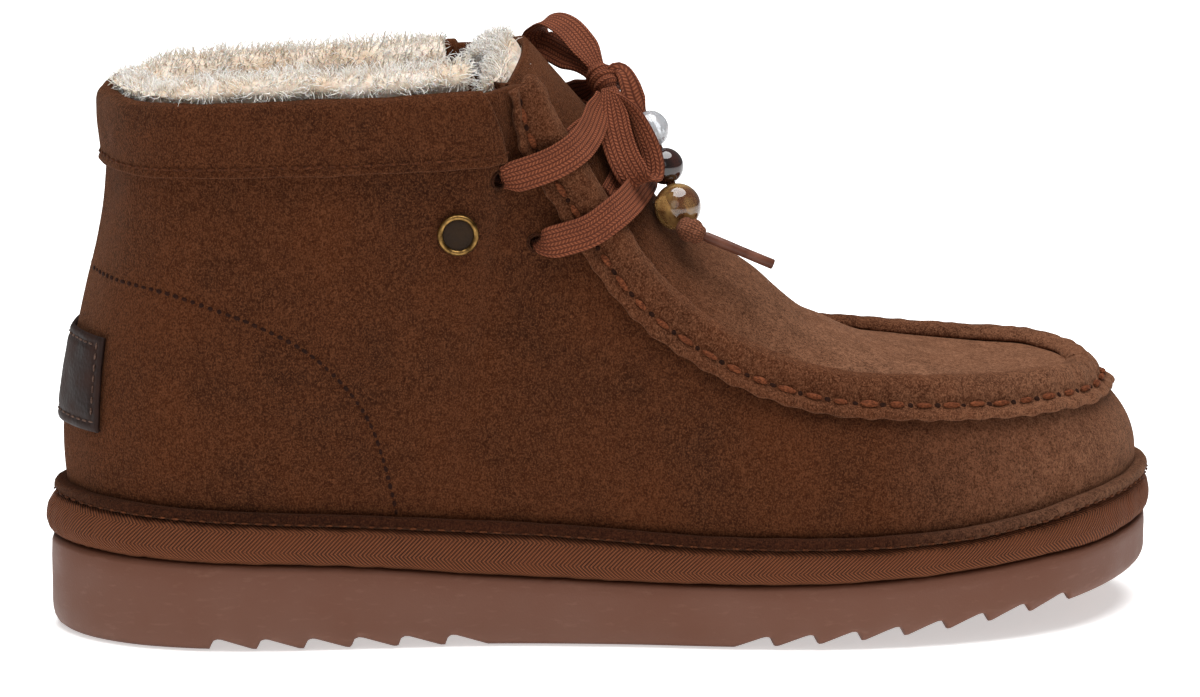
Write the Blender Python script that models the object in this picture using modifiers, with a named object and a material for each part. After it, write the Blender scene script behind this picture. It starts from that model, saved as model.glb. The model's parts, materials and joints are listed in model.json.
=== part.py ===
"""Sheepskin moccasin boot, right shoe, women's EU 38, built from its maker's pieces.

Frame: metres, +X to the toe, -Y the outer (lateral) side, +Z up. The floor is z = 0 and the
sole is centred on x = 0. Tables hold shares of the named sizes at the top.
"""
import math
import random
from typing import NamedTuple

import bmesh
import bpy
import numpy as np
from mathutils import Matrix, Vector
from mathutils.bvhtree import BVHTree

MM = 0.001

# Sole sizes
SOLE_LENGTH = 272 * MM
BALL_WIDTH = 100 * MM
HEEL_STACK = 22.5 * MM
BAND_HEIGHT = 10.5 * MM
TOE_SPRING = 10.5 * MM
SPRING_START = 0.60
OUTSOLE_INSET = 1.3 * MM
SOLE_EDGE_ROUND = 4.0 * MM
BAND_BULGE = 2.6 * MM
HEEL_FEATHER = 5.6 * MM
TOE_FEATHER = 4.2 * MM
INSOLE_THICKNESS = 4.5 * MM

# Lug sizes
HEEL_LUGS = 6
HEEL_LUG_START = 0.1375
HEEL_LUG_PITCH = 11.4 * MM
FRONT_LUGS = 8
FRONT_LUG_START = 0.598
FRONT_LUG_PITCH = 10.5 * MM
LUG_DEPTH = 2.0 * MM

# Upper sizes
UPPER_HEIGHT = 100 * MM
WALL = 2.5 * MM
GAP = 0.35 * MM
TONGUE_THICKNESS = 2.0 * MM
TONGUE_WING = 6.0 * MM
TONGUE_CLEARANCE = 1.0 * MM

# Overlay sizes
STRIP_WIDTH = 9.0 * MM
STRIP_THICKNESS = 2.3 * MM
STRIP_TURN = 3.0 * MM
CUFF_DEPTH = 17.0 * MM
CUFF_THICKNESS = 1.7 * MM
CUFF_ROLL = 1.6 * MM
CUFF_TURN = 1.0 * MM
CUFF_TURN_DEPTH = 4.0 * MM
PIPING_RADIUS = 1.3 * MM
PIPING_CLEARANCE = 0.7 * MM
PATCH_WIDTH = 41 * MM
PATCH_HEIGHT = 22 * MM
PATCH_THICKNESS = 1.2 * MM
PATCH_MIDDLE = 63 * MM
BUTTON_DIAMETER = 10.2 * MM
BUTTON_HEIGHT = 1.7 * MM
BUTTON_ALONG = 0.358
BUTTON_Z = 102 * MM

# Wool sizes
WOOL_DEPTH = 34 * MM
WOOL_THICKNESS = 8.0 * MM
WOOL_RISE = 6.5 * MM
LOCK_LENGTH = 3.6 * MM

# Lace sizes
LACE_WIDTH = 8.0 * MM
LACE_THICKNESS = 1.3 * MM
LACE_HOLE = 3.4 * MM
CROSS_WIDTH = 6.0 * MM
BOW_WIDTH = 8.0 * MM
END_WIDTH = 6.0 * MM

# Counts
SIDE_STEPS = 32
WALL_STEPS = 7
PLUG_STEPS = 7


class Girth(NamedTuple):
    """Half widths of the taped band at a station, as shares of the ball width."""

    along: float
    lateral: float
    medial: float


GIRTHS = (
    Girth(0.022, 0.17, 0.17),
    Girth(0.059, 0.27, 0.27),
    Girth(0.114, 0.34, 0.34),
    Girth(0.188, 0.37, 0.37),
    Girth(0.279, 0.37, 0.36),
    Girth(0.390, 0.37, 0.34),
    Girth(0.500, 0.41, 0.36),
    Girth(0.610, 0.47, 0.42),
    Girth(0.702, 0.50, 0.48),
    Girth(0.794, 0.48, 0.50),
    Girth(0.868, 0.42, 0.48),
    Girth(0.923, 0.33, 0.42),
    Girth(0.963, 0.21, 0.33),
    Girth(0.989, 0.08, 0.22),
)
TOE_TIP_SHIFT = 0.06


class Stack(NamedTuple):
    """Platform heights at a station: shares of the heel stack and of the band height."""

    along: float
    outsole: float
    band: float


STACKS = (
    Stack(0.00, 1.00, 1.03),
    Stack(0.11, 0.96, 0.97),
    Stack(0.235, 0.91, 0.93),
    Stack(0.41, 0.747, 1.00),
    Stack(0.59, 0.68, 0.87),
    Stack(0.70, 0.711, 0.80),
    Stack(0.805, 0.787, 0.75),
    Stack(0.875, 0.862, 0.80),
    Stack(0.93, 0.90, 0.95),
    Stack(1.00, 0.98, 0.95),
)


class Edge(NamedTuple):
    """One row round the upper: where it starts at the sole and where its top edge runs.

    foot, x and crown_x are shares of the sole length from the heel, lateral and medial of
    the ball width, rise and crown_rise of the upper height. low and high are the swell of
    the wall at a third and two thirds of its height, in millimetres. The crown columns
    are the middle of the apron and tongue across from this row.
    """

    foot: float
    x: float
    lateral: float
    medial: float
    rise: float
    low: float
    high: float
    crown_x: float
    crown_rise: float


EDGES = (
    Edge(0.0000, 0.0533, 0.000, 0.000, 0.985, 4.0, -4.0, 0.430, 1.200),
    Edge(0.0404, 0.0699, 0.170, 0.170, 0.989, 3.6, -3.4, 0.430, 1.200),
    Edge(0.0846, 0.1158, 0.290, 0.290, 1.003, 3.0, -2.0, 0.430, 1.200),
    Edge(0.1470, 0.1801, 0.335, 0.335, 1.020, 2.5, -0.8, 0.430, 1.200),
    Edge(0.2353, 0.2794, 0.345, 0.345, 1.037, 2.5, 0.0, 0.430, 1.200),
    Edge(0.3235, 0.3787, 0.355, 0.355, 1.068, 3.0, 0.5, 0.430, 1.200),
    Edge(0.3603, 0.4210, 0.280, 0.280, 1.083, 3.0, 0.5, 0.454, 1.131),
    Edge(0.4007, 0.4393, 0.275, 0.275, 0.992, 3.0, 0.8, 0.4816, 1.052),
    Edge(0.4522, 0.4688, 0.285, 0.285, 0.871, 3.2, 1.2, 0.511, 0.961),
    Edge(0.5037, 0.5000, 0.305, 0.305, 0.740, 3.3, 1.6, 0.5452, 0.850),
    Edge(0.5588, 0.5313, 0.325, 0.325, 0.629, 3.3, 2.0, 0.5772, 0.722),
    Edge(0.6176, 0.5754, 0.340, 0.335, 0.529, 3.3, 2.3, 0.6121, 0.654),
    Edge(0.6765, 0.6397, 0.350, 0.350, 0.432, 3.3, 2.3, 0.6544, 0.559),
    Edge(0.7353, 0.7004, 0.350, 0.353, 0.382, 3.3, 2.3, 0.6985, 0.477),
    Edge(0.8015, 0.7721, 0.330, 0.340, 0.355, 3.0, 2.2, 0.7721, 0.377),
    Edge(0.8676, 0.8382, 0.275, 0.315, 0.323, 2.6, 1.9, 0.8419, 0.333),
    Edge(0.9228, 0.8934, 0.195, 0.255, 0.296, 2.2, 1.5, 0.8952, 0.304),
    Edge(0.9632, 0.9246, 0.085, 0.155, 0.277, 1.9, 1.2, 0.9246, 0.283),
    Edge(1.0000, 0.9357, -0.040, 0.040, 0.263, 1.6, 0.8, 0.9357, 0.263),
)
STRIP_TOP_ROW = 6.0
STRIP_TURN_ROW = 7.5
TONGUE_TOP_ROW = 5.6
THROAT_ROW = 10.2
CUFF_ROW = 5.08
CUFF_LEAN_ROW = 3.0
CUFF_LEAN = 0.44
WOOL_ROW = 4.75


# Curves and columns

def rising_curve(keys, values):
    """A smooth function through a column that never overshoots its rows."""
    keys = np.asarray(keys, float)
    values = np.asarray(values, float)
    steps = np.diff(keys)
    grades = np.diff(values) / steps
    slopes = np.zeros(len(keys))
    for i in range(1, len(keys) - 1):
        if grades[i - 1] * grades[i] > 0:
            before = 2 * steps[i] + steps[i - 1]
            after = steps[i] + 2 * steps[i - 1]
            slopes[i] = (before + after) / (before / grades[i - 1] + after / grades[i])
    slopes[0] = grades[0]
    slopes[-1] = grades[-1]

    def at(key):
        i = int(np.clip(np.searchsorted(keys, key) - 1, 0, len(steps) - 1))
        t = float(np.clip((key - keys[i]) / steps[i], 0, 1))
        h = steps[i]
        return ((1 + 2 * t) * (1 - t) ** 2 * values[i] + t * (1 - t) ** 2 * h * slopes[i]
                + t * t * (3 - 2 * t) * values[i + 1] + t * t * (t - 1) * h * slopes[i + 1])

    return at


def smooth_loop(points, count):
    """A closed smooth curve through points, resampled at equal steps."""
    points = np.asarray(points, float)
    n = len(points)
    chords = np.linalg.norm(np.roll(points, -1, axis=0) - points, axis=1)
    dense = []
    for i in range(n):
        a, b, c, d = (points[(i + k) % n] for k in (-1, 0, 1, 2))
        before, here, after = chords[i - 1], chords[i], chords[(i + 1) % n]
        slope_b = ((b - a) / before * here + (c - b) / here * before) / (before + here)
        slope_c = ((c - b) / here * after + (d - c) / after * here) / (here + after)
        for t in np.linspace(0, 1, 40, endpoint=False):
            dense.append((1 + 2 * t) * (1 - t) ** 2 * b + t * (1 - t) ** 2 * here * slope_b
                         + t * t * (3 - 2 * t) * c + t * t * (t - 1) * here * slope_c)
    dense = np.array(dense + [dense[0]])
    run = np.concatenate([[0], np.cumsum(np.linalg.norm(np.diff(dense, axis=0), axis=1))])
    wanted = np.linspace(0, run[-1], count, endpoint=False)
    return np.stack([np.interp(wanted, run, dense[:, k]) for k in range(2)], axis=1)


def smooth_path(points, step):
    """An open smooth curve through rows, resampled at about one step of their places."""
    points = np.asarray(points, float)
    padded = np.vstack([2 * points[0] - points[1], points, 2 * points[-1] - points[-2]])
    dense = [points[0]]
    for i in range(1, len(padded) - 2):
        a, b, c, d = padded[i - 1:i + 3]
        for t in np.linspace(0, 1, 12)[1:]:
            dense.append(0.5 * (2 * b + (c - a) * t + (2 * a - 5 * b + 4 * c - d) * t * t
                                + (3 * b - a - 3 * c + d) * t ** 3))
    dense = np.array(dense)
    steps = np.linalg.norm(np.diff(dense[:, :3], axis=0), axis=1)
    run = np.concatenate([[0], np.cumsum(steps)])
    wanted = np.linspace(0, run[-1], max(3, round(run[-1] / step) + 1))
    return np.stack([np.interp(wanted, run, column) for column in dense.T], axis=1)


# The platform's outline and heights

def station_x(share):
    """The x of a share of the sole length."""
    return (share - 0.5) * SOLE_LENGTH


def station_share(x):
    """The share of the sole length at an x."""
    return x / SOLE_LENGTH + 0.5


def sole_outline(count):
    """The taped band's outline seen from above, from the heel's tip round the outer side."""
    heel = (station_x(0), 0)
    toe = (station_x(1), TOE_TIP_SHIFT * BALL_WIDTH)
    outer = [(station_x(g.along), -g.lateral * BALL_WIDTH) for g in GIRTHS]
    inner = [(station_x(g.along), g.medial * BALL_WIDTH) for g in GIRTHS]
    return smooth_loop([heel] + outer + [toe] + inner[::-1], count)


def outward(loop):
    """Unit normals of a closed flat loop, pointing out of it."""
    along = np.roll(loop, -1, axis=0) - np.roll(loop, 1, axis=0)
    along /= np.linalg.norm(along, axis=1)[:, None]
    normals = np.stack([along[:, 1], -along[:, 0]], axis=1)
    middle = loop.mean(axis=0)
    return normals if np.sum(normals * (loop - middle)) > 0 else -normals


def inset_outline(inset, count):
    """The outline moved in by a distance, or by one that a function of x gives."""
    loop = sole_outline(count)
    depth = np.array([inset(p[0]) if callable(inset) else inset for p in loop])
    return loop - outward(loop) * depth[:, None]


outsole_column = rising_curve([s.along for s in STACKS], [s.outsole for s in STACKS])
band_column = rising_curve([s.along for s in STACKS], [s.band for s in STACKS])


def underside(x):
    """Height of the outsole's underside: flat, then the toe spring."""
    t = (station_share(x) - SPRING_START) / (1 - SPRING_START)
    return TOE_SPRING * max(0.0, t) ** 1.45


def outsole_top(x):
    """Height of the outsole's top face."""
    return HEEL_STACK * outsole_column(station_share(x))


def band_top(x):
    """Height of the taped platform's top face, where the upper is sewn on."""
    return outsole_top(x) + BAND_HEIGHT * band_column(station_share(x))


def feather_inset(x):
    """How far the upper's foot stands in from the band, from heel to toe."""
    return HEEL_FEATHER + (TOE_FEATHER - HEEL_FEATHER) * station_share(x)


# Scene helpers

def clear_scene():
    """Remove everything that the file opened with."""
    for item in list(bpy.data.objects):
        bpy.data.objects.remove(item, do_unlink=True)


def finish(name, colour, roughness, metallic=0.0, alpha=1.0):
    """A plain material for one sub-part."""
    material = bpy.data.materials.new(name)
    material.use_nodes = True
    shader = material.node_tree.nodes["Principled BSDF"]
    shader.inputs["Base Color"].default_value = (*colour, 1)
    shader.inputs["Roughness"].default_value = roughness
    shader.inputs["Metallic"].default_value = metallic
    shader.inputs["Alpha"].default_value = alpha
    return material


def place(name, mesh, material, collection):
    """Put a mesh into the scene as one named object."""
    mesh.materials.append(material)
    item = bpy.data.objects.new(name, mesh)
    collection.objects.link(item)
    return item


def mesh_from(name, points, faces):
    """A mesh whose faces all point out of it."""
    mesh = bpy.data.meshes.new(name)
    mesh.from_pydata([tuple(map(float, p)) for p in points], [], faces)
    bm = bmesh.new()
    bm.from_mesh(mesh)
    bmesh.ops.recalc_face_normals(bm, faces=bm.faces)
    if not any(edge.is_boundary for edge in bm.edges) and bm.calc_volume(signed=True) < 0:
        bmesh.ops.reverse_faces(bm, faces=bm.faces)
    bm.to_mesh(mesh)
    bm.free()
    mesh.shade_smooth()
    mesh.set_sharp_from_angle(angle=math.radians(50))
    return mesh


def loft_faces(rings, size, closed):
    """Quads between neighbouring rings of one size."""
    faces = []
    for r in range(rings - 1):
        for i in range(size if closed else size - 1):
            j = (i + 1) % size
            faces.append((r * size + i, r * size + j, (r + 1) * size + j, (r + 1) * size + i))
    return faces


def rung_faces(size, offset, flip):
    """Quads that close a ring straight across, from its outer to its inner side."""
    faces = [(offset, offset + 1, offset + size - 1)]
    for i in range(1, size // 2 - 1):
        faces.append((offset + i, offset + i + 1, offset + size - i - 1, offset + size - i))
    middle = size // 2
    faces.append((offset + middle - 1, offset + middle, offset + middle + 1))
    return [face[::-1] for face in faces] if flip else faces


def slab(name, levels, material, collection):
    """A platform layer: rings of (inset, height function), closed above and below."""
    count = 2 * SIDE_STEPS
    points = []
    for inset, height in levels:
        for x, y in inset_outline(inset, count):
            points.append((x, y, height(x)))
    faces = loft_faces(len(levels), count, True)
    faces += rung_faces(count, 0, True)
    faces += rung_faces(count, count * (len(levels) - 1), False)
    return place(name, mesh_from(name, points, faces), material, collection)


# The platform

def between(low, high, share, lift=0.0):
    """A height function at a share of the way between two others."""
    return lambda x: low(x) + (high(x) - low(x)) * share + lift


def lug_profile(depth, length):
    """Side view of one heel notch: a steep rounded back and a long slope to the toe."""
    return [(0, -depth), (0, 0.1 * depth), (0.05 * length, 0.7 * depth), (0.16 * length, depth),
            (length, 0), (length, -depth)]


def lug_cutters(collection):
    """Saw-tooth notches across the heel and, turned round, across the forefoot."""
    points = []
    faces = []
    reach = 0.8 * BALL_WIDTH
    places = []
    for k in range(HEEL_LUGS):
        places.append((station_x(HEEL_LUG_START) + k * HEEL_LUG_PITCH, HEEL_LUG_PITCH, 1))
    for k in range(FRONT_LUGS):
        places.append((station_x(FRONT_LUG_START) + (k + 1) * FRONT_LUG_PITCH,
                       FRONT_LUG_PITCH, -1))
    for start, pitch, way in places:
        length = 0.88 * pitch
        middle = start + way * length / 2
        tilt = math.atan2(underside(start + way * length) - underside(start), way * length)
        outline = lug_profile(LUG_DEPTH, length)
        base = len(points)
        for side in (-reach, reach):
            for along, up in outline:
                x = start + way * along
                z = underside(start) + (x - start) * math.tan(tilt) + up
                points.append((x, side, z))
        n = len(outline)
        faces.append(tuple(range(base, base + n)))
        faces.append(tuple(range(base + 2 * n - 1, base + n - 1, -1)))
        for i in range(n):
            j = (i + 1) % n
            faces.append((base + i, base + j, base + n + j, base + n + i))
    mesh = bpy.data.meshes.new("lug_cutters")
    mesh.from_pydata(points, [], faces)
    bm = bmesh.new()
    bm.from_mesh(mesh)
    bmesh.ops.recalc_face_normals(bm, faces=bm.faces)
    bm.to_mesh(mesh)
    bm.free()
    cutter = bpy.data.objects.new("lug_cutters", mesh)
    collection.objects.link(cutter)
    hide(cutter)
    return cutter


def hide(cutter):
    """Mark a cutter as no part of the boot."""
    cutter.hide_render = True
    cutter.display_type = "WIRE"


def cut(item, cutter, kind="DIFFERENCE"):
    """Cut one object by another, or join them, live."""
    step = item.modifiers.new("cut", "BOOLEAN")
    step.operation = kind
    step.object = cutter


def build_platform(parts, cutters, looks):
    """Outsole with lugs, taped platform and footbed."""
    round_in = SOLE_EDGE_ROUND
    outsole = slab("outsole", (
        (OUTSOLE_INSET + round_in, underside),
        (OUTSOLE_INSET + 0.35 * round_in, between(underside, outsole_top, 0.05)),
        (OUTSOLE_INSET, between(underside, outsole_top, 0.22)),
        (OUTSOLE_INSET, between(underside, outsole_top, 0.75)),
        (OUTSOLE_INSET + 0.4 * MM, outsole_top),
    ), looks["rubber"], parts)
    cut(outsole, lug_cutters(cutters))
    slab("midsole", (
        (BAND_BULGE, between(outsole_top, band_top, 0.0, GAP)),
        (0.3 * BAND_BULGE, between(outsole_top, band_top, 0.14)),
        (0.0, between(outsole_top, band_top, 0.42)),
        (0.12 * BAND_BULGE, between(outsole_top, band_top, 0.68)),
        (0.6 * BAND_BULGE, between(outsole_top, band_top, 0.90)),
        (1.25 * BAND_BULGE, band_top),
    ), looks["tape"], parts)

    def bed_inset(extra):
        return lambda x: feather_inset(x) + WALL + 3 * GAP + extra

    def bed_height(share):
        return lambda x: band_top(x) + GAP + share * INSOLE_THICKNESS

    slab("insole", (
        (bed_inset(0.3 * MM), bed_height(0.0)),
        (bed_inset(0.0), bed_height(0.5)),
        (bed_inset(0.3 * MM), bed_height(0.8)),
        (bed_inset(1.6 * MM), bed_height(1.0)),
    ), looks["wool"], parts)


# The upper's surface

class Upper:
    """The upper's outer surface, worked out from the edge table and the sole outline."""

    def __init__(self):
        """Lay out the rows and the feather line."""
        self.dense = 1440
        self.loop = inset_outline(feather_inset, self.dense)
        self.normals = outward(self.loop)
        self.rows = np.arange(len(EDGES), dtype=float)
        self.columns = {name: rising_curve(self.rows, [getattr(e, name) for e in EDGES])
                        for name in Edge._fields}
        self.arcs = {side: rising_curve(self.rows, [self.arc_at(e.foot, side) for e in EDGES])
                     for side in (-1, 1)}
        self.steps = self.even_rows(SIDE_STEPS)

    def arc_at(self, share, side):
        """Share of the way round the feather line where a side passes a station."""
        half = self.dense // 2
        order = range(half + 1) if side < 0 else range(self.dense, half - 1, -1)
        if share <= 0:
            return 0.0 if side < 0 else 1.0
        if share >= 1:
            return 0.5
        for k in order:
            if station_share(self.loop[k % self.dense][0]) >= share:
                return k / self.dense
        return 0.5

    def even_rows(self, count):
        """Row numbers at even steps along the upper's middle height."""
        rows = np.linspace(0, len(EDGES) - 1, 600)
        middle = np.array([self.wall(r, -1, 0.6) for r in rows])
        run = np.concatenate([[0], np.cumsum(np.linalg.norm(np.diff(middle, axis=0), axis=1))])
        return np.interp(np.linspace(0, run[-1], count + 1), run, rows)

    def foot(self, row, side):
        """Where a row starts on the platform, and the way out of the shoe there."""
        arc = self.arcs[side](row) * self.dense
        k = int(arc) % self.dense
        j = (k + 1) % self.dense
        t = arc - int(arc)
        x, y = self.loop[k] * (1 - t) + self.loop[j] * t
        out = self.normals[k]
        return np.array([x, y, band_top(x) + GAP]), np.array([out[0], out[1], 0.0])

    def top(self, row, side):
        """The top edge of a row: collar rim, throat edge or apron seam."""
        width = self.columns["lateral" if side < 0 else "medial"](row) * BALL_WIDTH
        foot_z = band_top(station_x(self.columns["foot"](row)))
        return np.array([station_x(self.columns["x"](row)), side * width,
                         foot_z + self.columns["rise"](row) * UPPER_HEIGHT])

    def crown(self, row):
        """The middle of the apron and tongue across from a row."""
        foot_z = band_top(station_x(self.columns["foot"](row)))
        return np.array([station_x(self.columns["crown_x"](row)), 0.0,
                         foot_z + self.columns["crown_rise"](row) * UPPER_HEIGHT])

    def wall(self, row, side, v):
        """A point of the side wall, v running from the sole to the top edge."""
        foot, out = self.foot(row, side)
        low = 6.75 * v * (1 - v) ** 2 * self.columns["low"](row) * MM
        high = 6.75 * v * v * (1 - v) * self.columns["high"](row) * MM
        return foot + (self.top(row, side) - foot) * v + out * (low + high)

    def instep(self, row, t):
        """A point of the apron or tongue, t from -1 at the outer seam to 1 at the inner."""
        outer = self.top(row, -1)
        inner = self.top(row, 1)
        middle = (outer + inner) / 2
        return middle + (inner - outer) / 2 * t + (self.crown(row) - middle) * (1 - t * t)

    def instep_normal(self, row, t):
        """The way out of the apron or tongue at a point."""
        along = self.instep(row - 0.05, t) - self.instep(row + 0.05, t)
        across = self.instep(row, t + 0.03) - self.instep(row, t - 0.03)
        normal = np.cross(along, across)
        normal /= np.linalg.norm(normal)
        return normal if normal[2] > 0 else -normal

    def row_at_top(self, number):
        """The nearest built row to a row number."""
        return int(np.argmin(np.abs(self.steps - number)))

    def surface(self):
        """Points and faces of the open outer surface, apron included."""
        size = 2 * SIDE_STEPS
        rings = []
        for j in range(WALL_STEPS + 1):
            v = j / WALL_STEPS
            outer = [self.wall(row, -1, v) for row in self.steps]
            inner = [self.wall(row, 1, v) for row in self.steps[1:-1]]
            rings += outer + inner[::-1]
        points = list(rings)
        faces = loft_faces(WALL_STEPS + 1, size, True)
        top = WALL_STEPS * size
        throat = self.row_at_top(THROAT_ROW)
        rungs = []
        for i in range(throat, SIDE_STEPS):
            row = self.steps[i]
            rung = [top + i]
            for t in np.linspace(-1, 1, PLUG_STEPS + 2)[1:-1]:
                rung.append(len(points))
                points.append(self.instep(row, t))
            rung.append(top + size - i)
            rungs.append(rung)
        for a, b in zip(rungs, rungs[1:]):
            for k in range(PLUG_STEPS + 1):
                faces.append((a[k], a[k + 1], b[k + 1], b[k]))
        tip = top + SIDE_STEPS
        for k in range(PLUG_STEPS + 1):
            faces.append((rungs[-1][k], rungs[-1][k + 1], tip))
        return points, faces


def wall_tree(upper):
    """The wall as a search tree, so that overlays can be cut to lie on it."""
    points, faces = upper.surface()
    return BVHTree.FromPolygons([Vector(p) for p in points], faces)


def on_wall(tree, target, lift):
    """The point of the wall nearest to a target, lifted off it."""
    spot, normal, _, _ = tree.find_nearest(Vector(target))
    waist = SOLE_LENGTH / 3
    middle = Vector((min(max(spot.x, -waist), waist), 0, 0.4 * spot.z))
    if normal.dot(spot - middle) < 0:
        normal = -normal
    return np.array(spot + normal * lift)


def through_wall(tree, start, way, lift=0.0):
    """Where a line from inside the boot meets the wall, lifted off it along the line."""
    way = Vector(way)
    return tree.ray_cast(Vector(start), way)[0] + way * lift


def hole_cutters(tree, collection):
    """Round punches for the four lace holes."""
    for spot in LACE_HOLES:
        for side in (-1, 1):
            x = station_x(spot.along)
            height = band_top(x) + spot.rise * UPPER_HEIGHT
            mouth = through_wall(tree, (x, 0, height), (0, side, 0))
            bm = bmesh.new()
            bmesh.ops.create_cone(bm, cap_ends=True, segments=14, radius1=LACE_HOLE / 2,
                                  radius2=LACE_HOLE / 2, depth=6 * WALL,
                                  matrix=Matrix.Translation(mouth)
                                  @ Matrix.Rotation(math.pi / 2, 4, "X"))
            mesh = bpy.data.meshes.new("punch")
            bm.to_mesh(mesh)
            bm.free()
            punch = bpy.data.objects.new(f"punch_{spot.name}_{side}", mesh)
            collection.objects.link(punch)
            hide(punch)
            yield punch


class Hole(NamedTuple):
    """A lace hole: shares of the sole length and of the upper height above the sole."""

    name: str
    along: float
    rise: float


LACE_HOLES = (Hole("upper", 0.4063, 0.867), Hole("lower", 0.4412, 0.713))


def build_upper(upper, tree, parts, cutters, looks):
    """Side walls and apron as one hollow wall, open at collar, throat and underneath."""
    points, faces = upper.surface()
    item = place("upper", mesh_from("upper", points, faces), looks["suede"], parts)
    shell = item.modifiers.new("wall", "SOLIDIFY")
    shell.thickness = WALL
    shell.offset = -1
    shell.use_even_offset = True
    for punch in hole_cutters(tree, cutters):
        cut(item, punch)
    return item


def away_from_throat(upper, row, side):
    """The direction in the side view that leads back from the throat's edge."""
    along = upper.top(row - 0.2, side) - upper.top(row + 0.2, side)
    back = np.array([-along[2], 0.0, along[0]])
    return back / np.linalg.norm(back) * (1 if back[0] < 0 else -1)


def tongue_section(upper, tree, row, drop):
    """Points across the tongue: a wing under each throat edge, and the arch between."""
    across = []
    for side in (-1, 1):
        edge = upper.top(row, side)
        back = away_from_throat(upper, row, side)
        wing = [on_wall(tree, edge + back * reach * TONGUE_WING, -drop) for reach in (1.0, 0.45)]
        across.append(wing)
    arch = [upper.instep(row, t) - upper.instep_normal(row, t) * drop
            for t in np.linspace(-0.88, 0.88, 11)]
    return across[0] + arch + across[1][::-1]


def build_tongue(upper, tree, parts, looks):
    """The tongue: tucked under the apron's end and the throat's edges, high at the top."""
    rows = np.linspace(THROAT_ROW + 0.75, TONGUE_TOP_ROW, 11)
    sections = [tongue_section(upper, tree, row, WALL + TONGUE_CLEARANCE) for row in rows]
    points = [p for section in sections for p in section]
    faces = loft_faces(len(rows), len(sections[0]), False)
    item = place("tongue", mesh_from("tongue", points, faces), looks["suede"], parts)
    sheet = item.modifiers.new("sheet", "SOLIDIFY")
    sheet.thickness = TONGUE_THICKNESS
    sheet.offset = -1
    sheet.use_even_offset = True
    return item


# Overlays cut from the upper's own surface

def unit(vector):
    """A vector at length one."""
    return vector / np.linalg.norm(vector)


def swept(name, sections, material, collection, closed=False):
    """A solid through sections of one size, with flat ends unless it is a closed loop."""
    size = len(sections[0])
    points = [p for section in sections for p in section]
    faces = []
    rounds = len(sections) if closed else len(sections) - 1
    for r in range(rounds):
        a = r * size
        b = (r + 1) % len(sections) * size
        for i in range(size):
            j = (i + 1) % size
            faces.append((a + i, a + j, b + j, b + i))
    if not closed:
        faces.append(tuple(range(size)))
        faces.append(tuple(range(len(points) - 1, len(points) - size - 1, -1)))
    return place(name, mesh_from(name, points, faces), material, collection)


def both_sides(first, last, count):
    """Row and side pairs from a row on the outer side, round row last, to the inner side."""
    rows = np.linspace(first, last, count)
    return [(row, -1) for row in rows] + [(row, 1) for row in rows[-2::-1]]


def build_seam_strip(upper, parts, looks):
    """Piping sewn round the upper's foot, on top of the taped platform."""
    sections = []
    count = 2 * SIDE_STEPS
    reach = GAP + PIPING_RADIUS + PIPING_CLEARANCE
    loop = inset_outline(lambda x: feather_inset(x) - reach, count)
    out = outward(loop)
    for (x, y), (nx, ny) in zip(loop, out):
        middle = np.array([x, y, band_top(x) + GAP + PIPING_RADIUS])
        side = np.array([nx, ny, 0.0])
        sections.append([middle + PIPING_RADIUS * (side * math.cos(a) + np.array([0, 0, 1])
                                                   * math.sin(a))
                         for a in np.linspace(0, 2 * math.pi, 5, endpoint=False)])
    swept("seam_strip", sections, looks["suede"], parts, closed=True)


def strip_frame(upper, row, side):
    """Directions at the throat or apron edge: down the wall, across the instep, and out."""
    edge = upper.top(row, side)
    before = upper.top(max(row - 0.2, 0), side)
    after = upper.top(min(row + 0.2, len(EDGES) - 1), side)
    if row + 0.2 > len(EDGES) - 1:
        after = upper.top(2 * (len(EDGES) - 1) - row - 0.2, -side)
    along = unit(after - before)
    down = upper.wall(row, side, 0.85) - edge
    down = unit(down - along * down.dot(along))
    if row < STRIP_TURN_ROW:
        level = unit(np.array([-1.0, 0.12 * side, 0.06]))
        share = (STRIP_TURN_ROW - row) / (STRIP_TURN_ROW - STRIP_TOP_ROW)
        down = unit(down * (1 - share) + level * share)
    inward = upper.instep(min(row, len(EDGES) - 1.02), side * 0.9) - edge
    if row > len(EDGES) - 1.3:
        inward = np.array([-1.0, 0.0, 0.1])
    inward = unit(inward - along * inward.dot(along))
    up = unit(np.cross(along, inward))
    up = up if up[2] > 0 else -up
    return edge, down, inward, up


def build_apron_rim(upper, tree, parts, looks):
    """The raised seam round the apron and up both throat edges, as one strip."""
    sections = []
    for row, side in both_sides(STRIP_TOP_ROW, len(EDGES) - 1, 26):
        edge, down, inward, up = strip_frame(upper, row, side)

        def wall_point(reach, lift):
            return on_wall(tree, edge + down * reach * STRIP_WIDTH, lift)

        near = wall_point(0.12, GAP)
        out = unit(wall_point(0.12, GAP + MM) - near)
        sections.append([
            wall_point(1.0, 1.5 * GAP),
            wall_point(1.0, GAP + 0.65 * STRIP_THICKNESS),
            wall_point(0.75, GAP + STRIP_THICKNESS),
            wall_point(0.35, GAP + STRIP_THICKNESS),
            edge + out * (GAP + 0.75 * STRIP_THICKNESS) + up * 0.55 * STRIP_THICKNESS,
            edge + up * (GAP + STRIP_THICKNESS) + inward * 0.1 * STRIP_TURN,
            edge + up * (GAP + 0.7 * STRIP_THICKNESS) + inward * STRIP_TURN,
            edge + up * 2.5 * GAP + inward * STRIP_TURN,
            edge + up * 1.5 * GAP + out * 1.5 * GAP,
            wall_point(0.5, 1.5 * GAP),
        ])
    swept("apron_rim", sections, looks["suede"], parts)


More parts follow.
